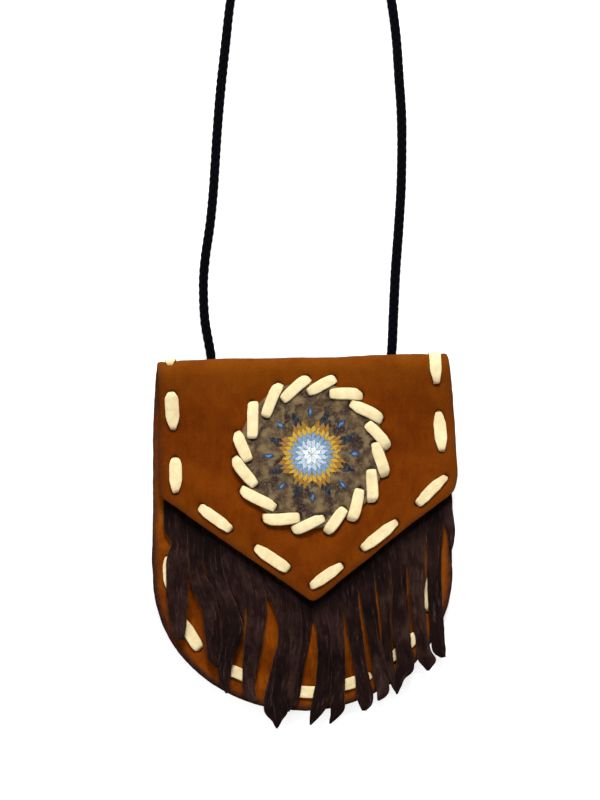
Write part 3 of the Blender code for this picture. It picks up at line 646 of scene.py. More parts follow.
def leather(name, outline, holes, where, thickness, step, mat, near_width=3.0, dent=0.35,
            painted_highlight=None, wobble=0.18, seed=1, extra=None):
    """A cut sheet: its outline and round holes in flat millimetres, laid by where(x, s)
    at the middle of its thickness, with rounded cut edges. Each hole is (x, s, radius)."""
    loop = resample(outline, step * 0.85)
    # a hand-cut outline wavers
    ahead = np.roll(loop, -1, axis=0) - np.roll(loop, 1, axis=0)
    side = np.stack([ahead[:, 1], -ahead[:, 0]], 1) / np.maximum(np.linalg.norm(ahead, axis=1), 1e-9)[:, None]
    loop = loop + side * (wobble * hills(loop[:, 0], loop[:, 1], 7, seed))[:, None]
    rings, ring_of = [], []
    for x, s, r in holes:
        a = np.arange(14) * 2 * pi / 14 + chance(x * 7 + s, seed)
        uneven = 1 + 0.10 * np.sin(2 * a + chance(x + s * 3, seed) * 3) + 0.05 * np.sin(3 * a)
        rings.append(np.stack([x + r * uneven * np.cos(a), s + r * uneven * np.sin(a)], 1))
    spots = np.array([(x, s) for x, s, r in holes]) if len(holes) else np.zeros((0, 2))
    radii = np.array([r for x, s, r in holes]) if len(holes) else np.zeros(0)
    around = []
    for x, s, r in holes:
        a = np.arange(16) * 2 * pi / 16 + 0.1
        around.append(np.stack([x + (r + 0.62) * np.cos(a), s + (r + 0.62) * np.sin(a)], 1))
    lo, hi = loop.min(0), loop.max(0)
    gx, gy = np.meshgrid(np.arange(lo[0], hi[0], step), np.arange(lo[1], hi[1], step * 0.866))
    gx = gx + (np.arange(gx.shape[0]) % 2 * step / 2)[:, None]
    grid = np.stack([gx.ravel(), gy.ravel()], 1)
    grid = grid[inside(grid, loop)]
    grid = grid[nearest(grid, loop) > step * 0.55]
    if len(spots):
        gap = np.sqrt(((grid[:, None, :] - spots[None]) ** 2).sum(2)) - radii[None]
        grid = grid[gap.min(1) > 0.62 + step * 0.45]
        more = np.vstack(around)
        more = more[inside(more, loop)]
        more = more[nearest(more, loop) > step * 0.5]
        gap = np.sqrt(((more[:, None, :] - spots[None]) ** 2).sum(2)) - radii[None]
        more = more[gap.min(1) > 0.45]
        grid = np.vstack([grid, more])
    points = [loop] + rings + [grid]
    edges, base = [], 0
    for ring in [loop] + rings:
        n = len(ring)
        edges += [(base + k, base + (k + 1) % n) for k in range(n)]
        base += n
    flat = np.vstack(points)
    result = geometry.delaunay_2d_cdt([Vector(p) for p in flat], edges, [], 0, 1e-5, False)
    flat = np.array([tuple(v) for v in result[0]])
    tris = np.array([f for f in result[2] if len(f) == 3])
    centre = flat[tris].mean(1)
    keep = inside(centre, loop)
    for ring in rings:
        keep &= ~inside(centre, ring)
    tris = tris[keep]
    # all faces the same way round
    a, b, c = flat[tris[:, 0]], flat[tris[:, 1]], flat[tris[:, 2]]
    area = (b[:, 0] - a[:, 0]) * (c[:, 1] - a[:, 1]) - (b[:, 1] - a[:, 1]) * (c[:, 0] - a[:, 0])
    tris = tris[np.abs(area) > 1e-7]
    area = area[np.abs(area) > 1e-7]
    tris[area < 0] = tris[area < 0][:, ::-1]
    used = np.unique(tris)
    index = -np.ones(len(flat), int)
    index[used] = np.arange(len(used))
    flat, tris = flat[used], index[tris]

    co = where(flat[:, 0], flat[:, 1])
    normal = vertex_normals(co, tris)
    if len(spots):
        gap = np.sqrt(((flat[:, None, :] - spots[None]) ** 2).sum(2)) - radii[None]
        gap = gap.min(1)
        pull = np.exp(-(np.maximum(gap, 0) / 2.2) ** 2)
        # painted shade round each punched hole
        painted_shade = np.exp(-(np.maximum(gap, 0) / 0.45) ** 2)
    else:
        pull = painted_shade = np.zeros(len(flat))
    toward = dent(flat[:, 0], flat[:, 1]) if callable(dent) else dent
    co = co + normal * (pull * toward)[:, None]
    # boundary edges, directed with the sheet on their left
    directed = np.vstack([tris[:, [0, 1]], tris[:, [1, 2]], tris[:, [2, 0]]])
    key = np.sort(directed, axis=1)
    code = key[:, 0].astype(np.int64) * (len(flat) + 1) + key[:, 1]
    values, counts = np.unique(code, return_counts=True)
    rim_edges = directed[np.isin(code, values[counts == 1])]
    follow = {int(a): int(b) for a, b in rim_edges}
    before = {int(b): int(a) for a, b in rim_edges}
    rim_ids = np.array(sorted(follow))
    out = np.zeros_like(co)
    for v in rim_ids:
        t = co[follow[v]] - co[before[v]]
        o = np.cross(t, normal[v])
        out[v] = o / max(np.linalg.norm(o), 1e-12)
    half = thickness / 2
    n0 = len(flat)
    fuzz = 0.05 * rough(flat[:, 0] * 1.0, flat[:, 1] * 1.0, 0.9, seed + 3)
    top = co + normal * (half + fuzz)[:, None]
    low = co - normal * (half + fuzz)[:, None]
    outer = inside(flat, loop)
    is_rim = np.zeros(n0, bool)
    is_rim[rim_ids] = True
    top[is_rim] -= normal[is_rim] * 0.22
    low[is_rim] += normal[is_rim] * 0.22
    verts = [top, low]
    level = {v: k for k, v in enumerate(rim_ids)}
    m = len(rim_ids)
    bulge = 0.06 * rough(flat[rim_ids, 0], flat[rim_ids, 1], 1.3, seed + 9)
    for share, push in ((0.45, 0.20), (-0.45, 0.20)):
        verts.append(co[rim_ids] + normal[rim_ids] * (half * share) + out[rim_ids] * (push + bulge)[:, None])
    faces = [tuple(t) for t in tris] + [tuple(t[::-1] + n0) for t in tris]
    for a, b in rim_edges:
        a, b = int(a), int(b)
        ia, ib = level[a], level[b]
        chain_a = (a, 2 * n0 + ia, 2 * n0 + m + ia, n0 + a)
        chain_b = (b, 2 * n0 + ib, 2 * n0 + m + ib, n0 + b)
        for k in range(3):
            faces.append((chain_b[k], chain_a[k], chain_a[k + 1], chain_b[k + 1]))
    all_flat = np.vstack([flat, flat, flat[rim_ids], flat[rim_ids]])
    gap_out = nearest(all_flat, loop)
    attributes = {
        "lay": np.column_stack([all_flat, np.concatenate([np.zeros(n0), np.full(n0, 40.0), np.zeros(2 * m)])]),
        "rim": np.concatenate([np.zeros(2 * n0), np.ones(2 * m)]),
        "near": 1 - ease(gap_out, 0.2, near_width),
        "hole": np.concatenate([painted_shade, painted_shade, painted_shade[rim_ids], painted_shade[rim_ids]]),
    }
    if painted_highlight is not None:
        attributes["painted_highlight"] = painted_highlight(all_flat[:, 0], all_flat[:, 1])
    if extra:
        attributes.update(extra(all_flat[:, 0], all_flat[:, 1]))
    return make_mesh(name, np.vstack(verts), faces, [mat], attributes)


# ================================================================ where the laces run
class Path:
    """A plan path of (x, y) points, read by the length along it."""

    def __init__(self, points):
        self.p = np.asarray(points, float)
        self.s = np.concatenate([[0], np.cumsum(np.linalg.norm(np.diff(self.p, axis=0), axis=1))])

    def at(self, s):
        return np.array([np.interp(s, self.s, self.p[:, 0]), np.interp(s, self.s, self.p[:, 1])])

    def heading(self, s, reach=0.8):
        d = self.at(s + reach) - self.at(s - reach)
        return d / np.linalg.norm(d)

    def nearest(self, x, y):
        steps = np.linspace(0, self.s[-1], 2001)
        p = self.at(steps)
        return float(steps[np.argmin(np.hypot(p[0] - x, p[1] - y))])


seam = Path(catmull([(-44.9, 45.5), (-45.0, 30), (-45.5, 15), (-46.0, 0), (-46.1, -9), (-45.6, -15.2), (-44.3, -21),
                     (-41.6, -26.3), (-36.6, -35.6), (-30.0, -41.0), (-23.8, -44.1), (-17.6, -46.8), (-7.2, -50.3),
                     (-0.9, -51.1), (5.2, -51.0), (12.0, -49.4), (21.4, -46.0), (28.3, -40.9), (32.9, -37.0),
                     (37.4, -32.2), (41.0, -25.0), (42.6, -17.5), (43.4, -8), (44.0, 5), (44.5, 20), (44.4, 45.5)], 1.5))
# each run of the seam lace on the front, from hole to hole
seam_ends = (((-45.0, 40.0), (-45.0, 28.6)), ((-45.5, 17.6), (-45.8, 6.2)), ((-46.1, -4.0), (-45.7, -15.0)),
             ((-42.1, -25.4), (-36.9, -35.1)), ((-29.2, -41.5), (-18.6, -46.4)), ((-6.6, -50.4), (4.6, -51.0)),
             ((11.0, -49.7), (21.2, -46.1)), ((28.6, -40.6), (36.9, -32.8)), ((41.3, -24.0), (42.9, -13.4)),
             ((43.8, -3.6), (44.1, 7.8)), ((44.4, 16.6), (44.5, 28.0)), ((44.5, 36.4), (44.4, 45.4)))
seam_runs = [(seam.nearest(*a), seam.nearest(*b)) for a, b in seam_ends]
CREST = FOLD_Y + FOLD_R * pi / 2
TUCK = FOLD_Y + FOLD_R * radians(142)      # where a lace that crosses the fold goes in again
# each run on the flap from hole to hole, and how blunt its two ends come out of the leather
BORDER = (((-43.45, 51.9), (-43.2, 40.2), 0.9, 0.2), ((-43.05, 29.6), (-43.2, 18.7), 0.8, 0.25),
          ((-34.6, 13.2), (-25.0, 5.3), 0.6, 0.5), ((-16.2, -1.3), (-5.8, -8.6), 0.45, 0.8),
          ((2.2, -14.4), (12.3, -8.1), 0.4, 0.3), ((20.0, -2.3), (31.4, 6.0), 0.35, 0.2),
          ((39.1, 12.5), (48.7, 20.8), 0.5, 0.15), ((47.75, 30.4), (47.05, 42.6), 0.25, 0.35))
left_x, right_x = -43.9, 46.15
border_points = [(left_x, TUCK), (left_x, CREST), (left_x + 0.1, 57.0)]
for n, (a, b, _, _) in enumerate(BORDER):
    border_points += [a, b]
    if n == 1:
        border_points += [(-42.0, 17.2), (-38.4, 15.6)]
    elif n == 3:
        border_points += [(-1.2, -12.6), (0.6, -14.1)]
    elif n == 6:
        border_points += [(49.0, 22.6), (48.3, 26.0)]
border_points += [(46.45, 53.4), (right_x, FOLD_Y), (right_x, CREST), (right_x, TUCK)]
border = Path(border_points)
border_runs = [(border.nearest(*a), border.nearest(*b)) for a, b, _, _ in BORDER]
border_blunt = [(c, d) for _, _, c, d in BORDER]
left_over = (0.0, border.nearest(left_x, FOLD_Y + FOLD_R * radians(66)))
right_over = (border.nearest(46.45, 53.4), border.s[-1])

# the sixteen stitches round the disc, from the hole in the disc to the hole in the flap
WHIP = (((-5.6, 48.8), (2.7, 55.4)), ((3.2, 51.0), (11.7, 55.5)), ((10.6, 50.2), (20.7, 49.8)),
        ((17.6, 46.7), (27.4, 41.4)), ((22.9, 39.6), (28.8, 31.8)), ((25.2, 32.9), (27.6, 22.5)),
        ((23.3, 23.9), (23.7, 13.6)), ((19.2, 17.4), (16.4, 7.7)), ((13.6, 11.1), (8.0, 3.5)),
        ((6.5, 8.4), (-3.2, 4.2)), ((-1.8, 8.4), (-13.2, 8.4)), ((-9.9, 12.2), (-20.6, 18.4)),
        ((-16.1, 20.3), (-22.7, 29.2)), ((-18.0, 28.8), (-21.7, 37.8)), ((-16.4, 36.4), (-16.0, 48.0)),
        ((-11.7, 43.5), (-7.1, 53.9)))
STITCHES = len(WHIP)


def whip_stitch(n):
    inner, outer = np.array(WHIP[n][0]), np.array(WHIP[n][1])
    way = outer - inner
    length = float(np.linalg.norm(way))
    # the hole in the disc stays clear of its edge
    short = max(0.0, float(np.hypot(*(inner - DISC_C))) - (DISC_R - 2.9))
    inner = inner - (inner - DISC_C) / np.linalg.norm(inner - DISC_C) * short
    # and the hole in the flap stays clear of the disc
    clear = max(0.0, DISC_R + 1.5 - float(np.hypot(*(outer - DISC_C))))
    outer = outer + (outer - DISC_C) / np.linalg.norm(outer - DISC_C) * clear
    way = outer - inner
    return inner, outer, way / np.linalg.norm(way), float(np.linalg.norm(way))


# ================================================================ the folded hide
HOLE = 1.2
back_edge = []
for k in range(61):
    a = pi + pi * k / 60
    full = 1 + (0.010 * sin(pi * (k / 30) ** 0.6) ** 2 if k < 30 else 0)      # the left shoulder is a little squarer
    back_edge.append((ROUND_X + HALF_W * full * cos(a), SIDE_END + BOTTOM_H * full * sin(a), 0))
right_side = [(float(right_edge(y)), y, 0) for y in (-4.5, 0, 8, 15, 24, 32, 40, 50, 58.4)]
left_side = [(float(left_edge(y)), y, 0) for y in (58.4, 50, 40, 32, 24, 15, 8, 0, -4.5)]
far_fold = FOLD_Y + FOLD_LONG
hide_loop = rounded(back_edge + right_side
                    + [(50.1, 62.0, 0), (49.9, 65.7, 0), (50.5, 69.2, 0),
                       (51.1, far_fold, 0), (51.8, flat_s(48), 0), (52.3, flat_s(40), 0), (52.4, flat_s(30), 0),
                       (52.9, flat_s(20.8), 2.6), (51.6, flat_s(16.4), 2.6), (49.0, flat_s(14.1), 0),
                       (37.7, flat_s(6.5), 0), (24.0, flat_s(-3.9), 0), (11.3, flat_s(-13.5), 0),
                       (APEX[0] + 0.2, flat_s(APEX[1] - 0.3), 2.2), (-24.0, flat_s(-0.7), 0),
                       (-48.0, flat_s(16.9), 1.4), (-48.4, flat_s(24), 0), (-48.3, flat_s(38), 0), (-47.7, flat_s(50), 0),
                       (-47.9, far_fold, 0), (-48.0, 69.4, 0), (-47.9, 65.7, 0), (-48.3, 62.0, 0)]
                    + left_side)
hide_holes = [(*seam.at(s), HOLE) for run in seam_runs for s in run]
hide_holes += [(-30.05, FOLD_Y + 3.3, 1.75), (31.35, FOLD_Y + 3.3, 1.75)]
for run in border_runs:
    for s in run:
        x, q = border.at(s)
        hide_holes.append((x, flat_s(q), HOLE))
for s in (left_over[0], left_over[1], right_over[0], right_over[1]):
    x, q = border.at(s)
    hide_holes.append((x, flat_s(q), HOLE))
for n in range(STITCHES):
    inner, outer, heading, _ = whip_stitch(n)
    hide_holes.append((inner[0], flat_s(inner[1]), 1.1))
    hide_holes.append((outer[0], flat_s(outer[1]), 1.1))


# painted highlight: strongest where the fold rounds over, weaker on the flap's right side and near its V edge
def hide_painted_highlight(x, s):
    y = flat_s(s)
    at_fold = ease(y, 44, 63) * 0.75
    edge = np.maximum(ease(x, 38, 52), 0) * 0.35 * (s > far_fold)
    low = 0.25 * (1 - ease(np.abs(over_vee(x, y)), 2, 12)) * (s > far_fold)
    return np.clip(np.maximum(np.maximum(at_fold, edge), low) * (s > FOLD_Y - 10), 0, 1)


def hide_dent(x, s):
    """Stitches draw the flap down and the back's laced edge up."""
    return np.where(s > far_fold - 2, 0.34, 0.12)


# the mesh's own normal points out of the bag on the flap side only, so keep one sign
def hide_edge_shade(x, s):
    """Painted shade on the outline of the half that lies at the back, and a little on the flap's left edge."""
    outline = (1 - ease(inset(x, np.minimum(s, FOLD_Y)), 0.4, 2.4)) * (1 - 0.5 * ease(s, -6, 8))
    flap_left = 0.35 * (1 - ease(x + 48.2, 0.2, 1.6))
    return {"edge_shade": np.where(s < FOLD_Y + 5, outline, flap_left * (s > far_fold))}


hide = leather("folded_hide", hide_loop, hide_holes, hide_middle, SUEDE, 1.15, hide_suede,
               near_width=3.0, dent=hide_dent, painted_highlight=hide_painted_highlight, seed=11, extra=hide_edge_shade)
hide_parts("back_panel", "flap")

# ================================================================ front panel
front_loop = rounded(back_edge + [(float(right_edge(y)), y, 0) for y in (-4.5, 0, 8, 15, 24, 32, 40)]
                     + [(float(right_edge(50)), MOUTH_Y, 2.5), (30, MOUTH_Y - 0.5, 0), (0, MOUTH_Y - 0.9, 0),
                        (-30, MOUTH_Y - 0.4, 0), (float(left_edge(50)), MOUTH_Y, 2.5)]
                     + [(float(left_edge(y)), y, 0) for y in (40, 32, 24, 15, 8, 0, -4.5)])


def front_middle(x, y):
    ripple = 0.22 * hills(x, y, 19, 31) * ease(inset(x, y), 4, 12)
    return np.stack([x, y, front_under(x, y) + SUEDE / 2 + ripple], -1)


# painted shade darkens the front panel's outline
front = leather("front_suede", front_loop, [(*seam.at(s), HOLE) for run in seam_runs for s in run],
                front_middle, SUEDE, 1.3, front_suede, near_width=3.2, dent=-0.25, seed=23,
                extra=lambda x, y: {"edge_shade": (1 - ease(inset(x, y), 0.3, 1.7)) * (1 - 0.6 * ease(y, -6, 8))})
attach(front, "pouch")
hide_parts("front_panel")


# ================================================================ laces
def lofted(name, rows, mat, ends=True, rim_share=0.0):
    """Joins rows of sections (each an array of points) into one closed tube."""
    co, faces, lay, rim = [], [], [], []
    for stations in rows:
        base = sum(len(c) for c in co)
        n = len(stations[0][0])
        for points, lays, rims in stations:
            co.append(points)
            lay.append(lays)
            rim.append(rims)
        m = len(stations)
        for i in range(m - 1):
            for k in range(n):
                a = base + i * n + k
                b = base + i * n + (k + 1) % n
                faces.append((a, b, b + n, a + n))
        if ends:
            faces.append(tuple(range(base + n - 1, base - 1, -1)))
            faces.append(tuple(base + (m - 1) * n + k for k in range(n)))
    return make_mesh(name, np.vstack(co), faces, [mat], {"lay": np.vstack(lay), "rim": np.concatenate(rim)})


def section(centre, side, up, width, thick, bow, along, seed, sides=18):
    """A flat lace's section: a soft-cornered oblong that droops at its edges."""
    a = (np.arange(sides) + 0.5) * 2 * pi / sides
    cx = np.sign(np.cos(a)) * np.abs(np.cos(a)) ** 0.42 * width / 2
    cz = np.sign(np.sin(a)) * np.abs(np.sin(a)) ** 0.55 * thick / 2
    cz = cz - bow * (np.abs(cx) / max(width / 2, 0.1)) ** 2.6
    wave = 0.07 * rough(cx * 1.0 + seed * 13, np.full(sides, along), 1.6, seed)
    cz = cz + wave * np.sign(np.sin(a))
    points = centre[None] + side[None] * cx[:, None] + up[None] * cz[:, None]
    lays = np.column_stack([np.full(sides, along), cx, cz * 1.0 + seed * 11])
    # painted shade along the lace's two edges
    edge = ease(np.abs(cx) / (width / 2), 0.88, 1.0) * 0.45
    # painted shade: the lace is darker where it dives into a hole
    edge = np.maximum(edge, 0.9 * (1 - ease(width, 2.0, 3.2)))
    return points, lays, edge


def running_lace(path, runs, top, low, point, seed, first_hole=True, last_hole=True, low_width=4.0, blunt=None,
                 widths=(4.1,), lead=None, tail=None):
    """Stations of one lace that runs over and under along a path.
    top and low give the height of its middle there, as functions of (x, y), and blunt
    says for each end of each run how square it comes out of its hole, 0 to 1."""
    profile = []        # s, height kind blend (0 low .. 1 top), lift, width, thickness
    # lead and tail are holes beyond the first and last run that the lace comes from and goes to
    for a, b in ((lead, runs[0][0]), (runs[-1][1], tail)):
        if a is not None and b is not None:
            profile += [(a + 0.02, 0.45, 0, 1.7, 1.2), (a + 0.25, 0.12, 0, 1.9, 1.2), (a + 1.1, 0.0, 0, 2.3, 1.0),
                        ((a + b) / 2, 0.0, 0, 3.6, 0.8),
                        (b - 1.1, 0.0, 0, 2.3, 1.0), (b - 0.25, 0.12, 0, 1.9, 1.2), (b - 0.02, 0.45, 0, 1.7, 1.2)]
    for n, (a, b) in enumerate(runs):
        wide = widths[n % len(widths)] + 0.12 * chance(n, seed)
        ba, bb = blunt[n] if blunt else (0.5 + 0.5 * chance(n, seed + 1), 0.5 + 0.5 * chance(n, seed + 2))
        pa, pb = 3.6 - 2.5 * ba, 3.6 - 2.5 * bb
        long = b - a
        if n or first_hole:
            if n:
                profile += [(a - 1.1, 0.0, 0, 2.3, 1.0), (a - 0.25, 0.12, 0, 1.95, 1.25)]
            profile += [(a, 0.5, 0, 1.9, 1.35), (a + 0.15, 0.86, 0, 2.1 + 0.9 * ba, 1.3),
                        (a + 0.55, 1.0, -0.12, 2.3 + 1.4 * ba, 1.2)]
        else:
            profile += [(a, 1.0, -0.1, wide * 0.9, 0.95)]
        for f, w in ((a + 0.5 + 0.5 * pa, 0.77 + 0.16 * ba), (a + 0.6 + pa, 0.98)):
            profile.append((f, 1.0, 0.04, wide * w, 1.0))
        for f in (0.38, 0.5, 0.62):
            profile.append((a + long * f, 1.0, 0.08 + 0.05 * chance(n * 3 + f, seed), wide, 0.95))
        for f, w in ((b - 0.6 - pb, 0.98), (b - 0.5 - 0.5 * pb, 0.77 + 0.16 * bb)):
            profile.append((f, 1.0, 0.04, wide * w, 1.0))
        if n < len(runs) - 1 or last_hole:
            profile += [(b - 0.55, 1.0, -0.12, 2.3 + 1.4 * bb, 1.2), (b - 0.15, 0.86, 0, 2.1 + 0.9 * bb, 1.3),
                        (b, 0.5, 0, 1.9, 1.35)]
            if n < len(runs) - 1:
                nxt = runs[n + 1][0]
                profile += [(b + 0.25, 0.12, 0, 1.95, 1.25), (b + 1.1, 0.0, 0, 2.3, 1.0)]
                gap = nxt - b
                for f in (0.3, 0.5, 0.7):
                    profile.append((b + gap * f, 0.0, 0, min(low_width, 2.3 + gap * 0.22), 0.8))
        else:
            profile += [(b, 1.0, -0.1, wide * 0.9, 0.95)]
    profile.sort(key=lambda row: row[0])
    rows = np.array(profile)
    # read it smoothly in the plane of length and height, which are both millimetres
    shape = rows.copy()
    shape[:, 1] = rows[:, 1] * 3.6
    fine = catmull(shape, 0.42)
    stations = []
    centres, sides = [], []
    for s, level, lift, width, thick in fine:
        level = min(max(level / 3.6, 0), 1)
        c = path.at(s)
        t = path.heading(s, 1.2)
        lateral = 0.22 * rough(s, 0.0, 9.0, seed + 4)
        c = c + np.array((-t[1], t[0])) * lateral
        side = np.array((-t[1], t[0])) * max(width, 1.6) / 2
        ends = []
        for p in (c + side, c - side):
            hi, lo_ = float(top(*p)), float(low(*p))
            ends.append(np.asarray(point(p[0], p[1], lo_ + (hi - lo_) * level + lift), float))
        centres.append((ends[0] + ends[1]) / 2)
        d = ends[0] - ends[1]
        sides.append(d / np.linalg.norm(d))
    centres, sides = np.array(centres), np.array(sides)
    for k in range(len(centres)):
        ahead = centres[min(k + 1, len(centres) - 1)] - centres[max(k - 1, 0)]
        up = np.cross(sides[k], ahead)
        up = -up / np.linalg.norm(up)
        # keep it facing out of the bag on the flat runs
        stations.append(section(centres[k], sides[k], -up, fine[k][3], fine[k][4],
                                0.10 if fine[k][3] > 3 else 0.0, float(fine[k][0]), seed))
    return stations


def flat_point(x, y, z):
    return np.array((x, y, z), float)


seam_lace = lofted("seam_lace", [running_lace(seam, seam_runs, lambda x, y: 4.72, lambda x, y: 0.62,
                                              flat_point, 3, False, False)], cream_lace)
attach(seam_lace, "pouch")
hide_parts("pouch_lace")

LACE_TOP = SUEDE + 0.42


def border_low(x, q):
    q = float(q)
    return -0.62 - (1.25 * float(flap_rise(x, q)) if q < 40 else 0.0)


def border_point(x, q, h):
    return flap_point(x, q, h)


border_lace = lofted("border_lace", [running_lace(border, border_runs, lambda x, q: LACE_TOP, border_low,
                                                  border_point, 5, blunt=border_blunt,
                                                  widths=(4.75, 4.3, 3.85, 3.95, 3.8, 3.8, 3.75, 4.2),
                                                  lead=left_over[1], tail=right_over[0])], cream_lace)
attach(border_lace, "flap")
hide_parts("flap_lace")
fold_laces = []
for name, run, seed in (("fold_lace_left", left_over, 8), ("fold_lace_right", right_over, 9)):
    ends = [(0.1, 0.4)] if seed == 9 else [(0.4, 0.8)]
    piece = lofted(name, [running_lace(border, [run], lambda x, q: LACE_TOP, lambda x, q: -0.5,
                                       border_point, seed, blunt=ends, widths=(3.95,))], cream_lace)
    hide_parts("flap_lace")
    fold_laces.append(piece)

DISC_T = 1.2
DISC_LIFT = SUEDE + 0.12
ON_DISC = DISC_LIFT + DISC_T + 0.32
whip_rows = []
stations = []
for n in range(STITCHES):
    inner, outer, heading, length_here = whip_stitch(n)
    across = np.array((-heading[1], heading[0]))
    wide = 3.95 + 0.15 * chance(n, 71)
    sharp_in, sharp_out = 0.5 + 0.5 * chance(n, 73), 0.5 + 0.5 * chance(n, 74)
    level_in, level_out = ON_DISC, LACE_TOP
    leave = float(np.hypot(*(inner - DISC_C)))
    # where the stitch steps off the disc's edge
    steps = np.linspace(0, length_here, 60)
    off = np.hypot(*((inner[:, None] + heading[:, None] * steps) - np.array(DISC_C)[:, None]))
    brink = float(np.interp(DISC_R, off, steps)) if off[-1] > DISC_R else length_here
    far_end = length_here
    brink = min(brink, far_end - 1.5)
    # at each end the lace is drawn towards the hole that it comes from or goes to
    came, goes = whip_stitch(n - 1)[1] - inner, whip_stitch((n + 1) % STITCHES)[0] - outer
    lean_in = (1 if across @ came > 0 else -1) * (0.55 + 0.3 * chance(n, 76))
    lean_out = (1 if across @ goes > 0 else -1) * (0.55 + 0.3 * chance(n, 77))
    marks = [(0.0, 0.55, 1.9, 1.3), (0.15, level_in - 0.25, 2.6 + 0.8 * sharp_in, 1.25),
             (0.6, level_in + 0.04, 2.8 + 0.8 * sharp_in, 1.15),
             (1.6, level_in + 0.12, 3.4 + 0.4 * sharp_in, 1.0), (2.8, level_in + 0.16, wide * 0.98, 0.95),
             (brink - 1.2, level_in + 0.18, wide, 0.95), (brink - 0.1, level_in + 0.1, wide, 0.95),
             (brink + 0.55 * (far_end - brink), (level_in + level_out) / 2 + 0.45, wide * 0.96, 1.0),
             (far_end - 0.45, level_out + 0.4, 2.9 + 0.8 * sharp_out, 1.15),
             (far_end - 0.1, level_out, 2.5 + 0.6 * sharp_out, 1.25), (far_end, 0.3, 1.9, 1.3)]
    following = whip_stitch((n + 1) % STITCHES)[0]
    way = following - outer
    length = np.linalg.norm(way)
    way = way / length
    rows = []
    for t, h, w, k in marks:
        c = inner + heading * t + across * 0.3 * sin(pi * t / far_end) * (0.5 + chance(n, 75))
        c = c + across * (wide - w) / 2 * (lean_in if t < far_end / 2 else lean_out)
        rows.append((*c, h, w, k, *across))
    under_side = np.array((way[1], -way[0]))
    if n < STITCHES - 1:
        for f in (0.12, 0.5, 0.88):
            c = outer + way * length * f
            rows.append((*c, -0.55, 2.1, 0.8, *under_side))
    stations.append(rows)
whip_all = [row for rows in stations for row in rows]
fine = catmull([(r[0], r[1], r[2] * 1.0, r[3], r[4], r[5], r[6]) for r in whip_all], 0.42)
centres, sides = [], []
for x, y, h, w, k, sx, sy in fine:
    norm = hypot(sx, sy) or 1
    s = np.array((sx, sy)) / norm * w / 2
    a = flap_point(x + s[0], y + s[1], h)
    b = flap_point(x - s[0], y - s[1], h)
    centres.append((a + b) / 2)
    d = a - b
    sides.append(d / np.linalg.norm(d))
centres, sides = np.array(centres), np.array(sides)
whip_stations = []
for k in range(len(centres)):
    ahead = centres[min(k + 1, len(centres) - 1)] - centres[max(k - 1, 0)]
    up = np.cross(ahead, sides[k])
    up = up / max(np.linalg.norm(up), 1e-9)
    whip_stations.append(section(centres[k], sides[k], up, fine[k][3], fine[k][4],
                                 0.10 if fine[k][3] > 3 else 0.0, k * 0.42, 6))
whip_lace = lofted("whip_lace", [whip_stations], cream_lace)
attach(whip_lace, "flap")
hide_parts("medallion_lace")

# ================================================================ painted disc
a = np.arange(160) * 2 * pi / 160
disc_loop = np.stack([DISC_R * np.cos(a), DISC_R * np.sin(a)], 1) * (1 + 0.012 * np.sin(3 * a + 1) + 0.008 * np.sin(7 * a))[:, None]
disc_holes = []
for n in range(STITCHES):
    inner = whip_stitch(n)[0] - np.array(DISC_C)
    disc_holes.append((inner[0], inner[1], 1.15))


def disc_middle(x, y):
    lift = 0.25 * np.maximum(0, hills(np.arctan2(y, x) * 6, 0 * x, 2.0, 44)) * ease(np.hypot(x, y), 20, 24.5)
    return flap_point(x + DISC_C[0], y + DISC_C[1], DISC_LIFT + DISC_T / 2 + lift)


disc = leather("painted_disc", disc_loop, disc_holes, disc_middle, DISC_T, 0.62, painted_leather,
               near_width=2.0, dent=-0.2, wobble=0.15, seed=41)
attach(disc, "flap")
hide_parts("medallion_disc")

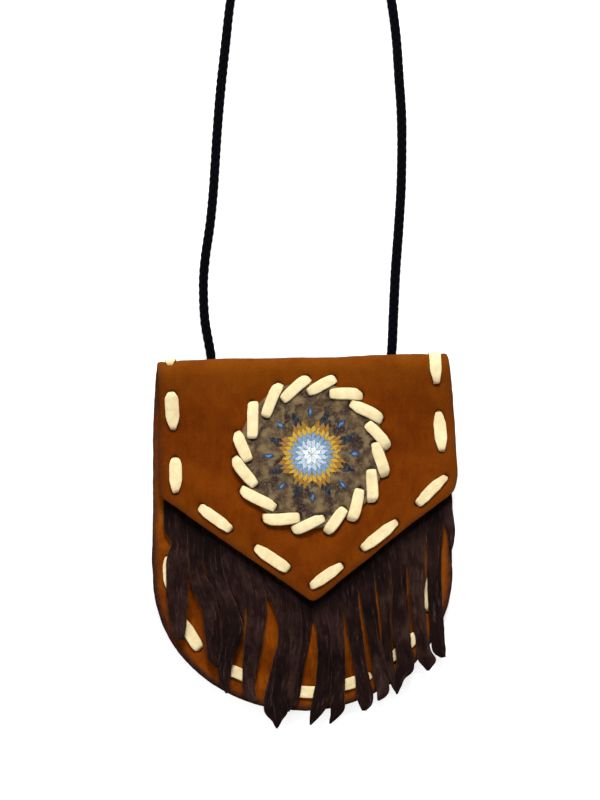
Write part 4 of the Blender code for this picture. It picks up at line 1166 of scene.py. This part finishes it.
# ================================================================ fringe
# each strip from its root to its tip: y, left edge, right edge
STRIPS = (
    ((14.1, -47.6, -39.4), (6.2, -47.6, -39.4), (1.1, -45.6, -39.3), (-4.5, -47.3, -39.2), (-13.6, -47.7, -39.5),
     (-19.8, -47.5, -39.9), (-26.0, -46.6, -40.4), (-29.9, -45.6, -41.0), (-31.9, -44.3, -41.7)),
    ((8.3, -39.9, -34.1), (3.8, -39.8, -34.2), (-4.1, -39.6, -34.3), (-10.4, -39.4, -33.4), (-14.9, -38.7, -30.8),
     (-20.6, -36.0, -29.6), (-27.4, -35.1, -28.9), (-34.2, -34.6, -28.8), (-38.4, -34.1, -29.1), (-41.5, -31.5, -29.9)),
    ((3.6, -34.5, -28.3), (-4.9, -34.5, -28.0), (-12.8, -32.4, -26.2), (-20.8, -29.8, -23.1), (-28.7, -29.2, -21.0),
     (-34.3, -29.5, -22.9), (-39.9, -30.6, -25.0), (-45.6, -30.5, -26.0), (-49.0, -28.9, -26.8), (-50.6, -28.2, -27.6)),
    ((-0.5, -29.3, -22.0), (-7.3, -28.9, -21.5), (-14.1, -28.0, -20.6), (-20.9, -26.5, -20.3), (-26.5, -25.5, -20.8)),
    ((-5.2, -22.9, -15.6), (-12.0, -22.5, -14.6), (-17.7, -21.3, -13.1), (-23.3, -20.5, -12.9), (-28.9, -20.9, -13.8),
     (-34.6, -21.7, -14.9), (-40.2, -22.3, -16.3), (-45.8, -22.6, -17.5), (-50.9, -22.3, -17.6), (-54.0, -19.5, -16.7)),
    ((-8.8, -16.2, -9.2), (-15.6, -13.9, -6.6), (-22.4, -11.0, -6.1), (-29.2, -9.8, -5.7), (-34.8, -10.4, -5.4),
     (-40.5, -12.1, -6.0), (-46.1, -13.6, -6.7), (-51.7, -15.2, -7.6), (-57.3, -15.5, -6.7), (-60.7, -12.9, -9.0),
     (-63.2, -11.3, -10.7)),
    ((-12.3, -9.9, -3.7), (-19.1, -7.1, -2.2), (-26.5, -6.4, -1.2), (-32.7, -6.9, -1.1), (-38.3, -7.7, -2.1),
     (-43.9, -8.4, -3.1), (-49.5, -9.1, -4.2), (-55.2, -9.3, -5.4), (-57.4, -8.9, -6.5)),
    ((-18.1, -4.1, 2.1), (-23.8, -4.0, 2.4), (-29.4, -3.4, 1.9), (-35.0, -4.0, 1.0), (-40.6, -4.8, -0.4),
     (-46.2, -5.6, -1.5), (-51.9, -6.2, -2.5), (-55.8, -6.2, -4.0)),
    ((-19.4, 1.6, 7.1), (-25.0, 2.1, 7.4), (-29.6, 3.2, 8.0), (-35.2, 3.3, 8.5), (-40.9, 3.1, 8.8), (-46.5, 2.5, 8.4),
     (-52.1, 1.4, 7.7), (-56.6, 0.4, 6.1), (-59.9, 0.1, 3.3), (-62.3, 0.2, 0.7)),
    ((-16.1, 6.7, 12.7), (-24.1, 7.0, 12.9), (-30.8, 7.7, 13.0), (-38.2, 8.1, 13.3), (-45.5, 7.7, 13.2),
     (-51.7, 7.5, 12.8), (-56.8, 7.2, 12.6), (-59.0, 7.1, 11.1), (-62.1, 6.9, 7.4)),
    ((-12.9, 12.3, 17.9), (-19.7, 12.5, 18.1), (-27.1, 13.2, 18.9), (-33.3, 14.1, 19.6), (-40.1, 14.9, 20.3),
     (-45.7, 15.9, 21.1), (-52.0, 16.0, 22.5), (-55.9, 16.9, 21.9), (-57.9, 18.0, 19.6)),
    ((-9.7, 17.5, 23.6), (-17.6, 18.2, 23.9), (-24.4, 18.9, 24.7), (-31.2, 20.1, 25.2), (-38.0, 21.3, 26.5),
     (-44.2, 22.0, 27.3), (-49.9, 22.9, 28.0), (-52.7, 23.2, 27.1), (-54.6, 23.5, 24.2)),
    ((-5.9, 23.2, 29.2), (-13.2, 23.8, 29.2), (-20.0, 24.6, 29.2), (-27.4, 25.3, 28.8), (-33.6, 25.4, 29.2),
     (-39.2, 25.8, 29.4), (-44.9, 27.0, 29.9), (-48.9, 28.0, 30.6), (-52.3, 29.9, 30.6)),
    ((-2.1, 29.0, 35.0), (-10.0, 29.1, 34.9), (-17.9, 29.1, 34.9), (-24.7, 28.9, 35.4), (-30.3, 28.7, 35.7),
     (-36.0, 29.7, 35.9), (-40.5, 30.1, 36.9), (-44.4, 29.8, 36.3), (-47.2, 29.2, 33.5), (-52.6, 29.8, 30.6)),
    ((3.4, 34.6, 41.6), (-4.5, 34.8, 41.4), (-13.6, 34.9, 41.2), (-20.3, 35.2, 40.8), (-27.7, 36.0, 41.2),
     (-33.3, 36.7, 41.7), (-38.4, 37.1, 42.7), (-41.6, 37.6, 44.3), (-44.9, 40.6, 41.5)),
    ((9.9, 41.5, 48.6), (3.2, 41.6, 47.7), (-4.7, 41.5, 47.1), (-12.6, 41.3, 46.8), (-20.5, 41.4, 46.9),
     (-27.8, 41.6, 47.2), (-34.0, 41.9, 47.3), (-38.6, 42.7, 47.6), (-40.6, 45.7, 47.3)),
    ((13.8, 46.4, 51.0), (8.7, 47.3, 51.1), (4.2, 48.4, 51.7), (0.8, 48.9, 51.6), (-2.6, 49.4, 50.8), (-4.0, 49.9, 50.3)),
)
# how high each strip rides on its neighbours: at its left edge and at its right edge
RIDE = ((0.2, 0.9), (1.0, 0.2), (0.3, 1.3), (0.0, 0.4), (0.3, 0.2), (0.3, 1.0), (0.1, 0.9), (0.1, 0.2), (0.2, 0.9),
        (0.2, 0.3), (0.8, 0.2), (0.2, 0.8), (0.2, 0.3), (0.8, 0.2), (0.2, 0.9), (0.1, 0.3), (0.3, 0.1))
FRINGE_T = 1.05
fringe_rows = []
for number, (rows, (ride_l, ride_r)) in enumerate(zip(STRIPS, RIDE)):
    rows = np.array(rows, float)
    # a root inside the band, above the first row
    first = rows[0]
    mid_x = (first[1] + first[2]) / 2
    root = float(vee(mid_x)) + 2.2
    if root > first[0] + 0.5:
        rows = np.vstack([[root, first[1] + 0.2, first[2] - 0.2], rows])
    line = np.column_stack([(rows[:, 1] + rows[:, 2]) / 2, rows[:, 0], np.zeros(len(rows)), rows[:, 2] - rows[:, 1]])
    fine = catmull(line, 0.85)
    n = len(fine)
    sides = 20
    out = []
    total = n * 0.85
    for k in range(n):
        x, y, _, width = fine[k]
        width = max(width - 0.55 * float(ease(k * 0.85, 8, 20)) * float(ease(width, 1.5, 4)), 0.35)
        t = fine[min(k + 1, n - 1), :2] - fine[max(k - 1, 0), :2]
        t = t / np.linalg.norm(t)
        # the rows are level, so the section is too, but it leans with the strip a little
        across = np.array((1.0, 0.0)) * 0.75 + np.array((-t[1], t[0])) * 0.25 * (1 if t[1] < 0 else -1)
        across = across / np.linalg.norm(across)
        a = (np.arange(sides) + 0.5) * 2 * pi / sides
        u = np.sign(np.cos(a)) * np.abs(np.cos(a)) ** 0.5
        v = np.sign(np.sin(a)) * np.abs(np.sin(a)) ** 0.65
        trim = 0.10 * np.sign(u) * rough(np.full(sides, y), np.sign(u) * 5, 1.7, number + 60)
        px = x + across[0] * (u * width / 2 + trim)
        py = y + across[1] * (u * width / 2 + trim)
        s = k * 0.85
        free = ease(s, 4, 18)
        # strips twist and wave as they hang
        twist = 0.65 * rough(s, 0.0, 15.0, number + 80) * free
        wave = 0.30 * (rough(s, 0.0, 11.0, number + 90) + 1) * free
        tuck = ease(over_vee(x, y), -1.5, 2.0)
        ride_here = (ride_l * (1 - u) / 2 + ride_r * (1 + u) / 2) * (0.35 + 0.65 * free)
        cup = 0.30 * (1 - u * u)
        bottom = strip_rest(px, py)
        z = bottom + ride_here * 1.2 + np.maximum(twist * u, -0.3) + wave + cup + FRINGE_T / 2 * (1 + v) + 0.03
        z = np.minimum(z, 99) if tuck <= 0 else z
        z = z * (1 - tuck) + (5.6 + 2.75 * dome(px, py) + 1.0 + 0.05 * u + FRINGE_T / 2 * (1 + v) * 0.9) * tuck
        points = np.column_stack([px, py, z])
        lays = np.column_stack([u * width / 2 + number * 17, np.full(sides, s), v * 0.5 + number * 3])
        # painted highlight on the strips' upper cut edges
        edge = ease(np.abs(u), 0.93, 0.995) * ease(v, -0.9, 0.3)
        out.append((points, lays, edge))
    fringe_rows.append(out)


def fringe_mesh(name, rows):
    obj = lofted(name, rows, dark_suede)
    mesh = obj.data
    count = len(mesh.vertices)
    near = mesh.attributes.new("near", 'FLOAT', 'POINT')
    near.data.foreach_set("value", np.zeros(count, np.float32))
    # deep in the flap's shade the nap looks almost black
    places = np.vstack([points for out in rows for points, _, _ in out])
    shade = 1.5 * (1 - ease(-over_vee(places[:, 0], places[:, 1]), 1.0, 11.0))
    hole = mesh.attributes.new("hole", 'FLOAT', 'POINT')
    hole.data.foreach_set("value", shade.astype(np.float32))
    return obj


fringe = fringe_mesh("fringe_strips", fringe_rows)
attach(fringe, "flap")
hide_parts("fringe")

# the uncut band that the border lace holds behind the flap's edge
band_loop = rounded([(-47.2, float(vee(-47.2)) + 10.4, 1), (-47.2, float(vee(-47.2)) + 0.6, 1), (APEX[0], APEX[1] + 0.6, 2),
                     (51.4, float(vee(51.4)) + 0.6, 1), (51.4, float(vee(51.4)) + 10.4, 1), (APEX[0], APEX[1] + 11.0, 2)])
band_holes = [(*border.at(s), HOLE) for run in border_runs[1:-1] for s in run
              if 1.5 < over_vee(*border.at(s)) < 9.5]


def band_middle(x, y):
    return np.stack([x, y, 5.6 + 2.75 * dome(x, y) + 1.02 + FRINGE_T / 2 + 0.05 * rough(x, y, 6, 77)], -1)


band = leather("fringe_band", band_loop, band_holes, band_middle, 0.95, 1.3, dark_suede, dent=0.0, seed=53)
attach(band, "flap")
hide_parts("fringe")


# ================================================================ neck cord
CORD_R = 1.66
FLOOR_Z = CORD_R + 0.19
left_route = [(-30.2, 57.95, 4.0), (-30.1, 60.2, 3.0), (-30.0, 62.2, 2.1), (-29.95, 64.3, 1.72),
              (-30.4, 67.5, FLOOR_Z), (-31.8, 77.3, FLOOR_Z), (-31.9, 89.2, FLOOR_Z),
              (-31.0, 98.2, FLOOR_Z), (-29.1, 109.2, FLOOR_Z), (-27.6, 121.1, FLOOR_Z),
              (-25.8, 140.4, FLOOR_Z), (-24.2, 155.0, FLOOR_Z), (-21.9, 172.0, FLOOR_Z),
              (-19.7, 187.0, FLOOR_Z), (-16.4, 200.0, FLOOR_Z), (-13.9, 211.5, FLOOR_Z),
              (-13.15, 219.0, FLOOR_Z)]
right_route = [(31.0, 57.95, 4.0), (31.2, 60.2, 3.0), (31.5, 62.2, 2.1), (31.8, 64.3, 1.72),
               (32.1, 67.5, FLOOR_Z), (32.9, 79.0, FLOOR_Z), (33.9, 92.0, FLOOR_Z),
               (35.3, 106.0, FLOOR_Z), (36.7, 122.4, FLOOR_Z), (37.4, 142.8, FLOOR_Z),
               (36.9, 158.0, FLOOR_Z), (36.3, 172.0, FLOOR_Z), (34.8, 186.0, FLOOR_Z),
               (32.6, 198.0, FLOOR_Z), (30.9, 207.5, 1.8)]
COIL = (9.0, 226.0)
coil_marks = [  # turns from the left side, clockwise: turns, radius, height
    (0.0, 22.0, FLOOR_Z), (1.0, 18.6, FLOOR_Z), (1.9, 15.5, FLOOR_Z), (2.0, 15.15, FLOOR_Z + 0.1), (2.06, 14.97, 2.0),
    (2.12, 15.0, 2.95), (2.18, 15.4, 3.95), (2.24, 16.15, 4.7), (2.30, 17.0, 5.04), (2.42, 17.6, 5.06),
    (2.75, 18.6, 5.0), (3.0, 19.4, 5.0), (3.25, 20.3, 4.98), (3.42, 20.9, 5.04), (3.5, 21.2, 4.75)]
marks = np.array(coil_marks)
turns = np.linspace(0.0, 3.5, 3 * 16 + 9)
coil_route = []
for t in turns:
    r, z = np.interp(t, marks[:, 0], marks[:, 1]), np.interp(t, marks[:, 0], marks[:, 2])
    a = pi - 2 * pi * t
    coil_route.append((COIL[0] + r * cos(a), COIL[1] + r * sin(a), z))
down = [(30.35, 221.0, 3.9), (30.6, 216.0, 2.9), (30.8, 211.5, 2.1)]
route = left_route + coil_route + down + right_route[::-1]
line = catmull(route, 0.42)
# soften the small corners of the marks
for _ in range(12):
    line[1:-1] = line[1:-1] * 0.5 + (line[:-2] + line[2:]) * 0.25


def tube(line, radius, sides, braid, name, mat):
    """A braided round cord: strands run round it both ways and stand up in turn."""
    t = np.gradient(line, axis=0)
    t /= np.linalg.norm(t, axis=1)[:, None]
    up = np.array((0.0, 0.0, 1.0))
    normal = []
    n = up - t[0] * (up @ t[0])
    n /= np.linalg.norm(n)
    for k in range(len(line)):
        n = n - t[k] * (n @ t[k])
        n /= np.linalg.norm(n)
        normal.append(n)
    normal = np.array(normal)
    other = np.cross(t, normal)
    s = np.concatenate([[0], np.cumsum(np.linalg.norm(np.diff(line, axis=0), axis=1))])
    a = np.arange(sides) * 2 * pi / sides
    ss, aa = np.meshgrid(s, a, indexing='ij')
    pitch, strands = 5.2, 4
    one = np.cos(strands * aa + ss * 2 * pi / pitch * 2)
    two = np.cos(strands * aa - ss * 2 * pi / pitch * 2)
    weave = np.maximum(one, two)
    # a worn cord: thickness wavers, and loose fibres roughen it
    waver = 0.05 * rough(ss, 0 * ss, 14, 91) + 0.035 * rough(ss, aa * 3, 1.1, 92)
    r = radius * (0.955 + 0.055 * weave) + waver
    co = line[:, None, :] + normal[:, None, :] * (np.cos(aa) * r)[..., None] + other[:, None, :] * (np.sin(aa) * r)[..., None]
    m, k = ss.shape
    ids = np.arange(m * k).reshape(m, k)
    quads = np.stack([ids[:-1], np.roll(ids, -1, 1)[:-1], np.roll(ids, -1, 1)[1:], ids[1:]], -1).reshape(-1, 4)
    faces = [tuple(q) for q in quads] + [tuple(ids[0][::-1]), tuple(ids[-1])]
    lays = np.column_stack([ss.ravel(), aa.ravel() * radius, 0 * ss.ravel()])
    return make_mesh(name, co.reshape(-1, 3), faces, [mat], {"lay": lays, "rim": ((weave + 1) / 2).ravel()})


neck_cord = tube(line, CORD_R, 20, True, "neck_cord", black_cord)
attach(neck_cord, "pouch")
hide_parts("cord_left", "cord_right", "cord_coil")
for name, node, x, y, z in (("stopper_knot_left", "knot_left", -30.3, 54.35, 5.0),
                            ("stopper_knot_right", "knot_right", 30.9, 54.35, 5.0)):
    t = np.linspace(0, 2 * pi, 121)[:-1]
    trefoil = np.stack([(np.sin(t) + 2 * np.sin(2 * t)) * 0.86, -np.sin(3 * t) * 1.25,
                        (np.cos(t) - 2 * np.cos(2 * t)) * 0.86], 1)
    trefoil = np.vstack([trefoil, trefoil[:3]]) + (x, y, z)
    piece = tube(catmull(trefoil, 0.3), 1.28, 16, True, name, black_cord)
    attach(piece, "pouch")
    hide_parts(node)

# ================================================================ the hide's heights and places are read, and the hide and fold laces are baked in place
hide_z = np.array([v.co.z for v in hide.data.vertices]) / MM
hide_s = np.zeros(3 * len(hide_z), np.float32)
hide.data.attributes["lay"].data.foreach_get("vector", hide_s)
hide_s = hide_s.reshape(-1, 3)[:, 1]
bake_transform(hide)
for piece in fold_laces:
    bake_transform(piece)

# ================================================================ floor and light
floor_mesh = bpy.data.meshes.new("floor")
floor_mesh.from_pydata([(-4, -4, 0), (4, -4, 0), (4, 4, 0), (-4, 4, 0)], [], [(0, 1, 2, 3)])
floor = bpy.data.objects.new("floor", floor_mesh)
floor.location = (0, 0, -0.0002)
bpy.context.scene.collection.objects.link(floor)
floor_mat = bpy.data.materials.new("pale_floor")
tree, bsdf = nodes_of(floor_mat)
bsdf.inputs["Base Color"].default_value = (0.6, 0.6, 0.6, 1)
bsdf.inputs["Roughness"].default_value = 0.8
bsdf.inputs["Specular IOR Level"].default_value = 0.1
bsdf.inputs["Emission Color"].default_value = (1, 1, 1, 1)
bsdf.inputs["Emission Strength"].default_value = 0.72
floor_mesh.materials.append(floor_mat)


def area_light(name, where, aim, size, power, colour=(1, 1, 1)):
    data = bpy.data.lights.new(name, 'AREA')
    data.shape = 'DISK'
    data.size = size
    data.energy = power
    data.color = colour
    obj = bpy.data.objects.new(name, data)
    bpy.context.scene.collection.objects.link(obj)
    obj.location = where
    obj.rotation_euler = (Vector(aim) - Vector(where)).to_track_quat('-Z', 'Y').to_euler()
    return obj


area_light("key", (0.06, 1.05, 0.92), (0, 0, 0), 0.40, 23.0, (1.0, 0.985, 0.96))
area_light("fill", (-0.9, -0.3, 1.3), (0, 0, 0), 1.2, 5.0)
world = bpy.data.worlds.new("studio")
bpy.context.scene.world = world
world.use_nodes = True
world.node_tree.nodes["Background"].inputs[0].default_value = (1, 1, 1, 1)
world.node_tree.nodes["Background"].inputs[1].default_value = 0.42

bpy.context.view_layer.update()
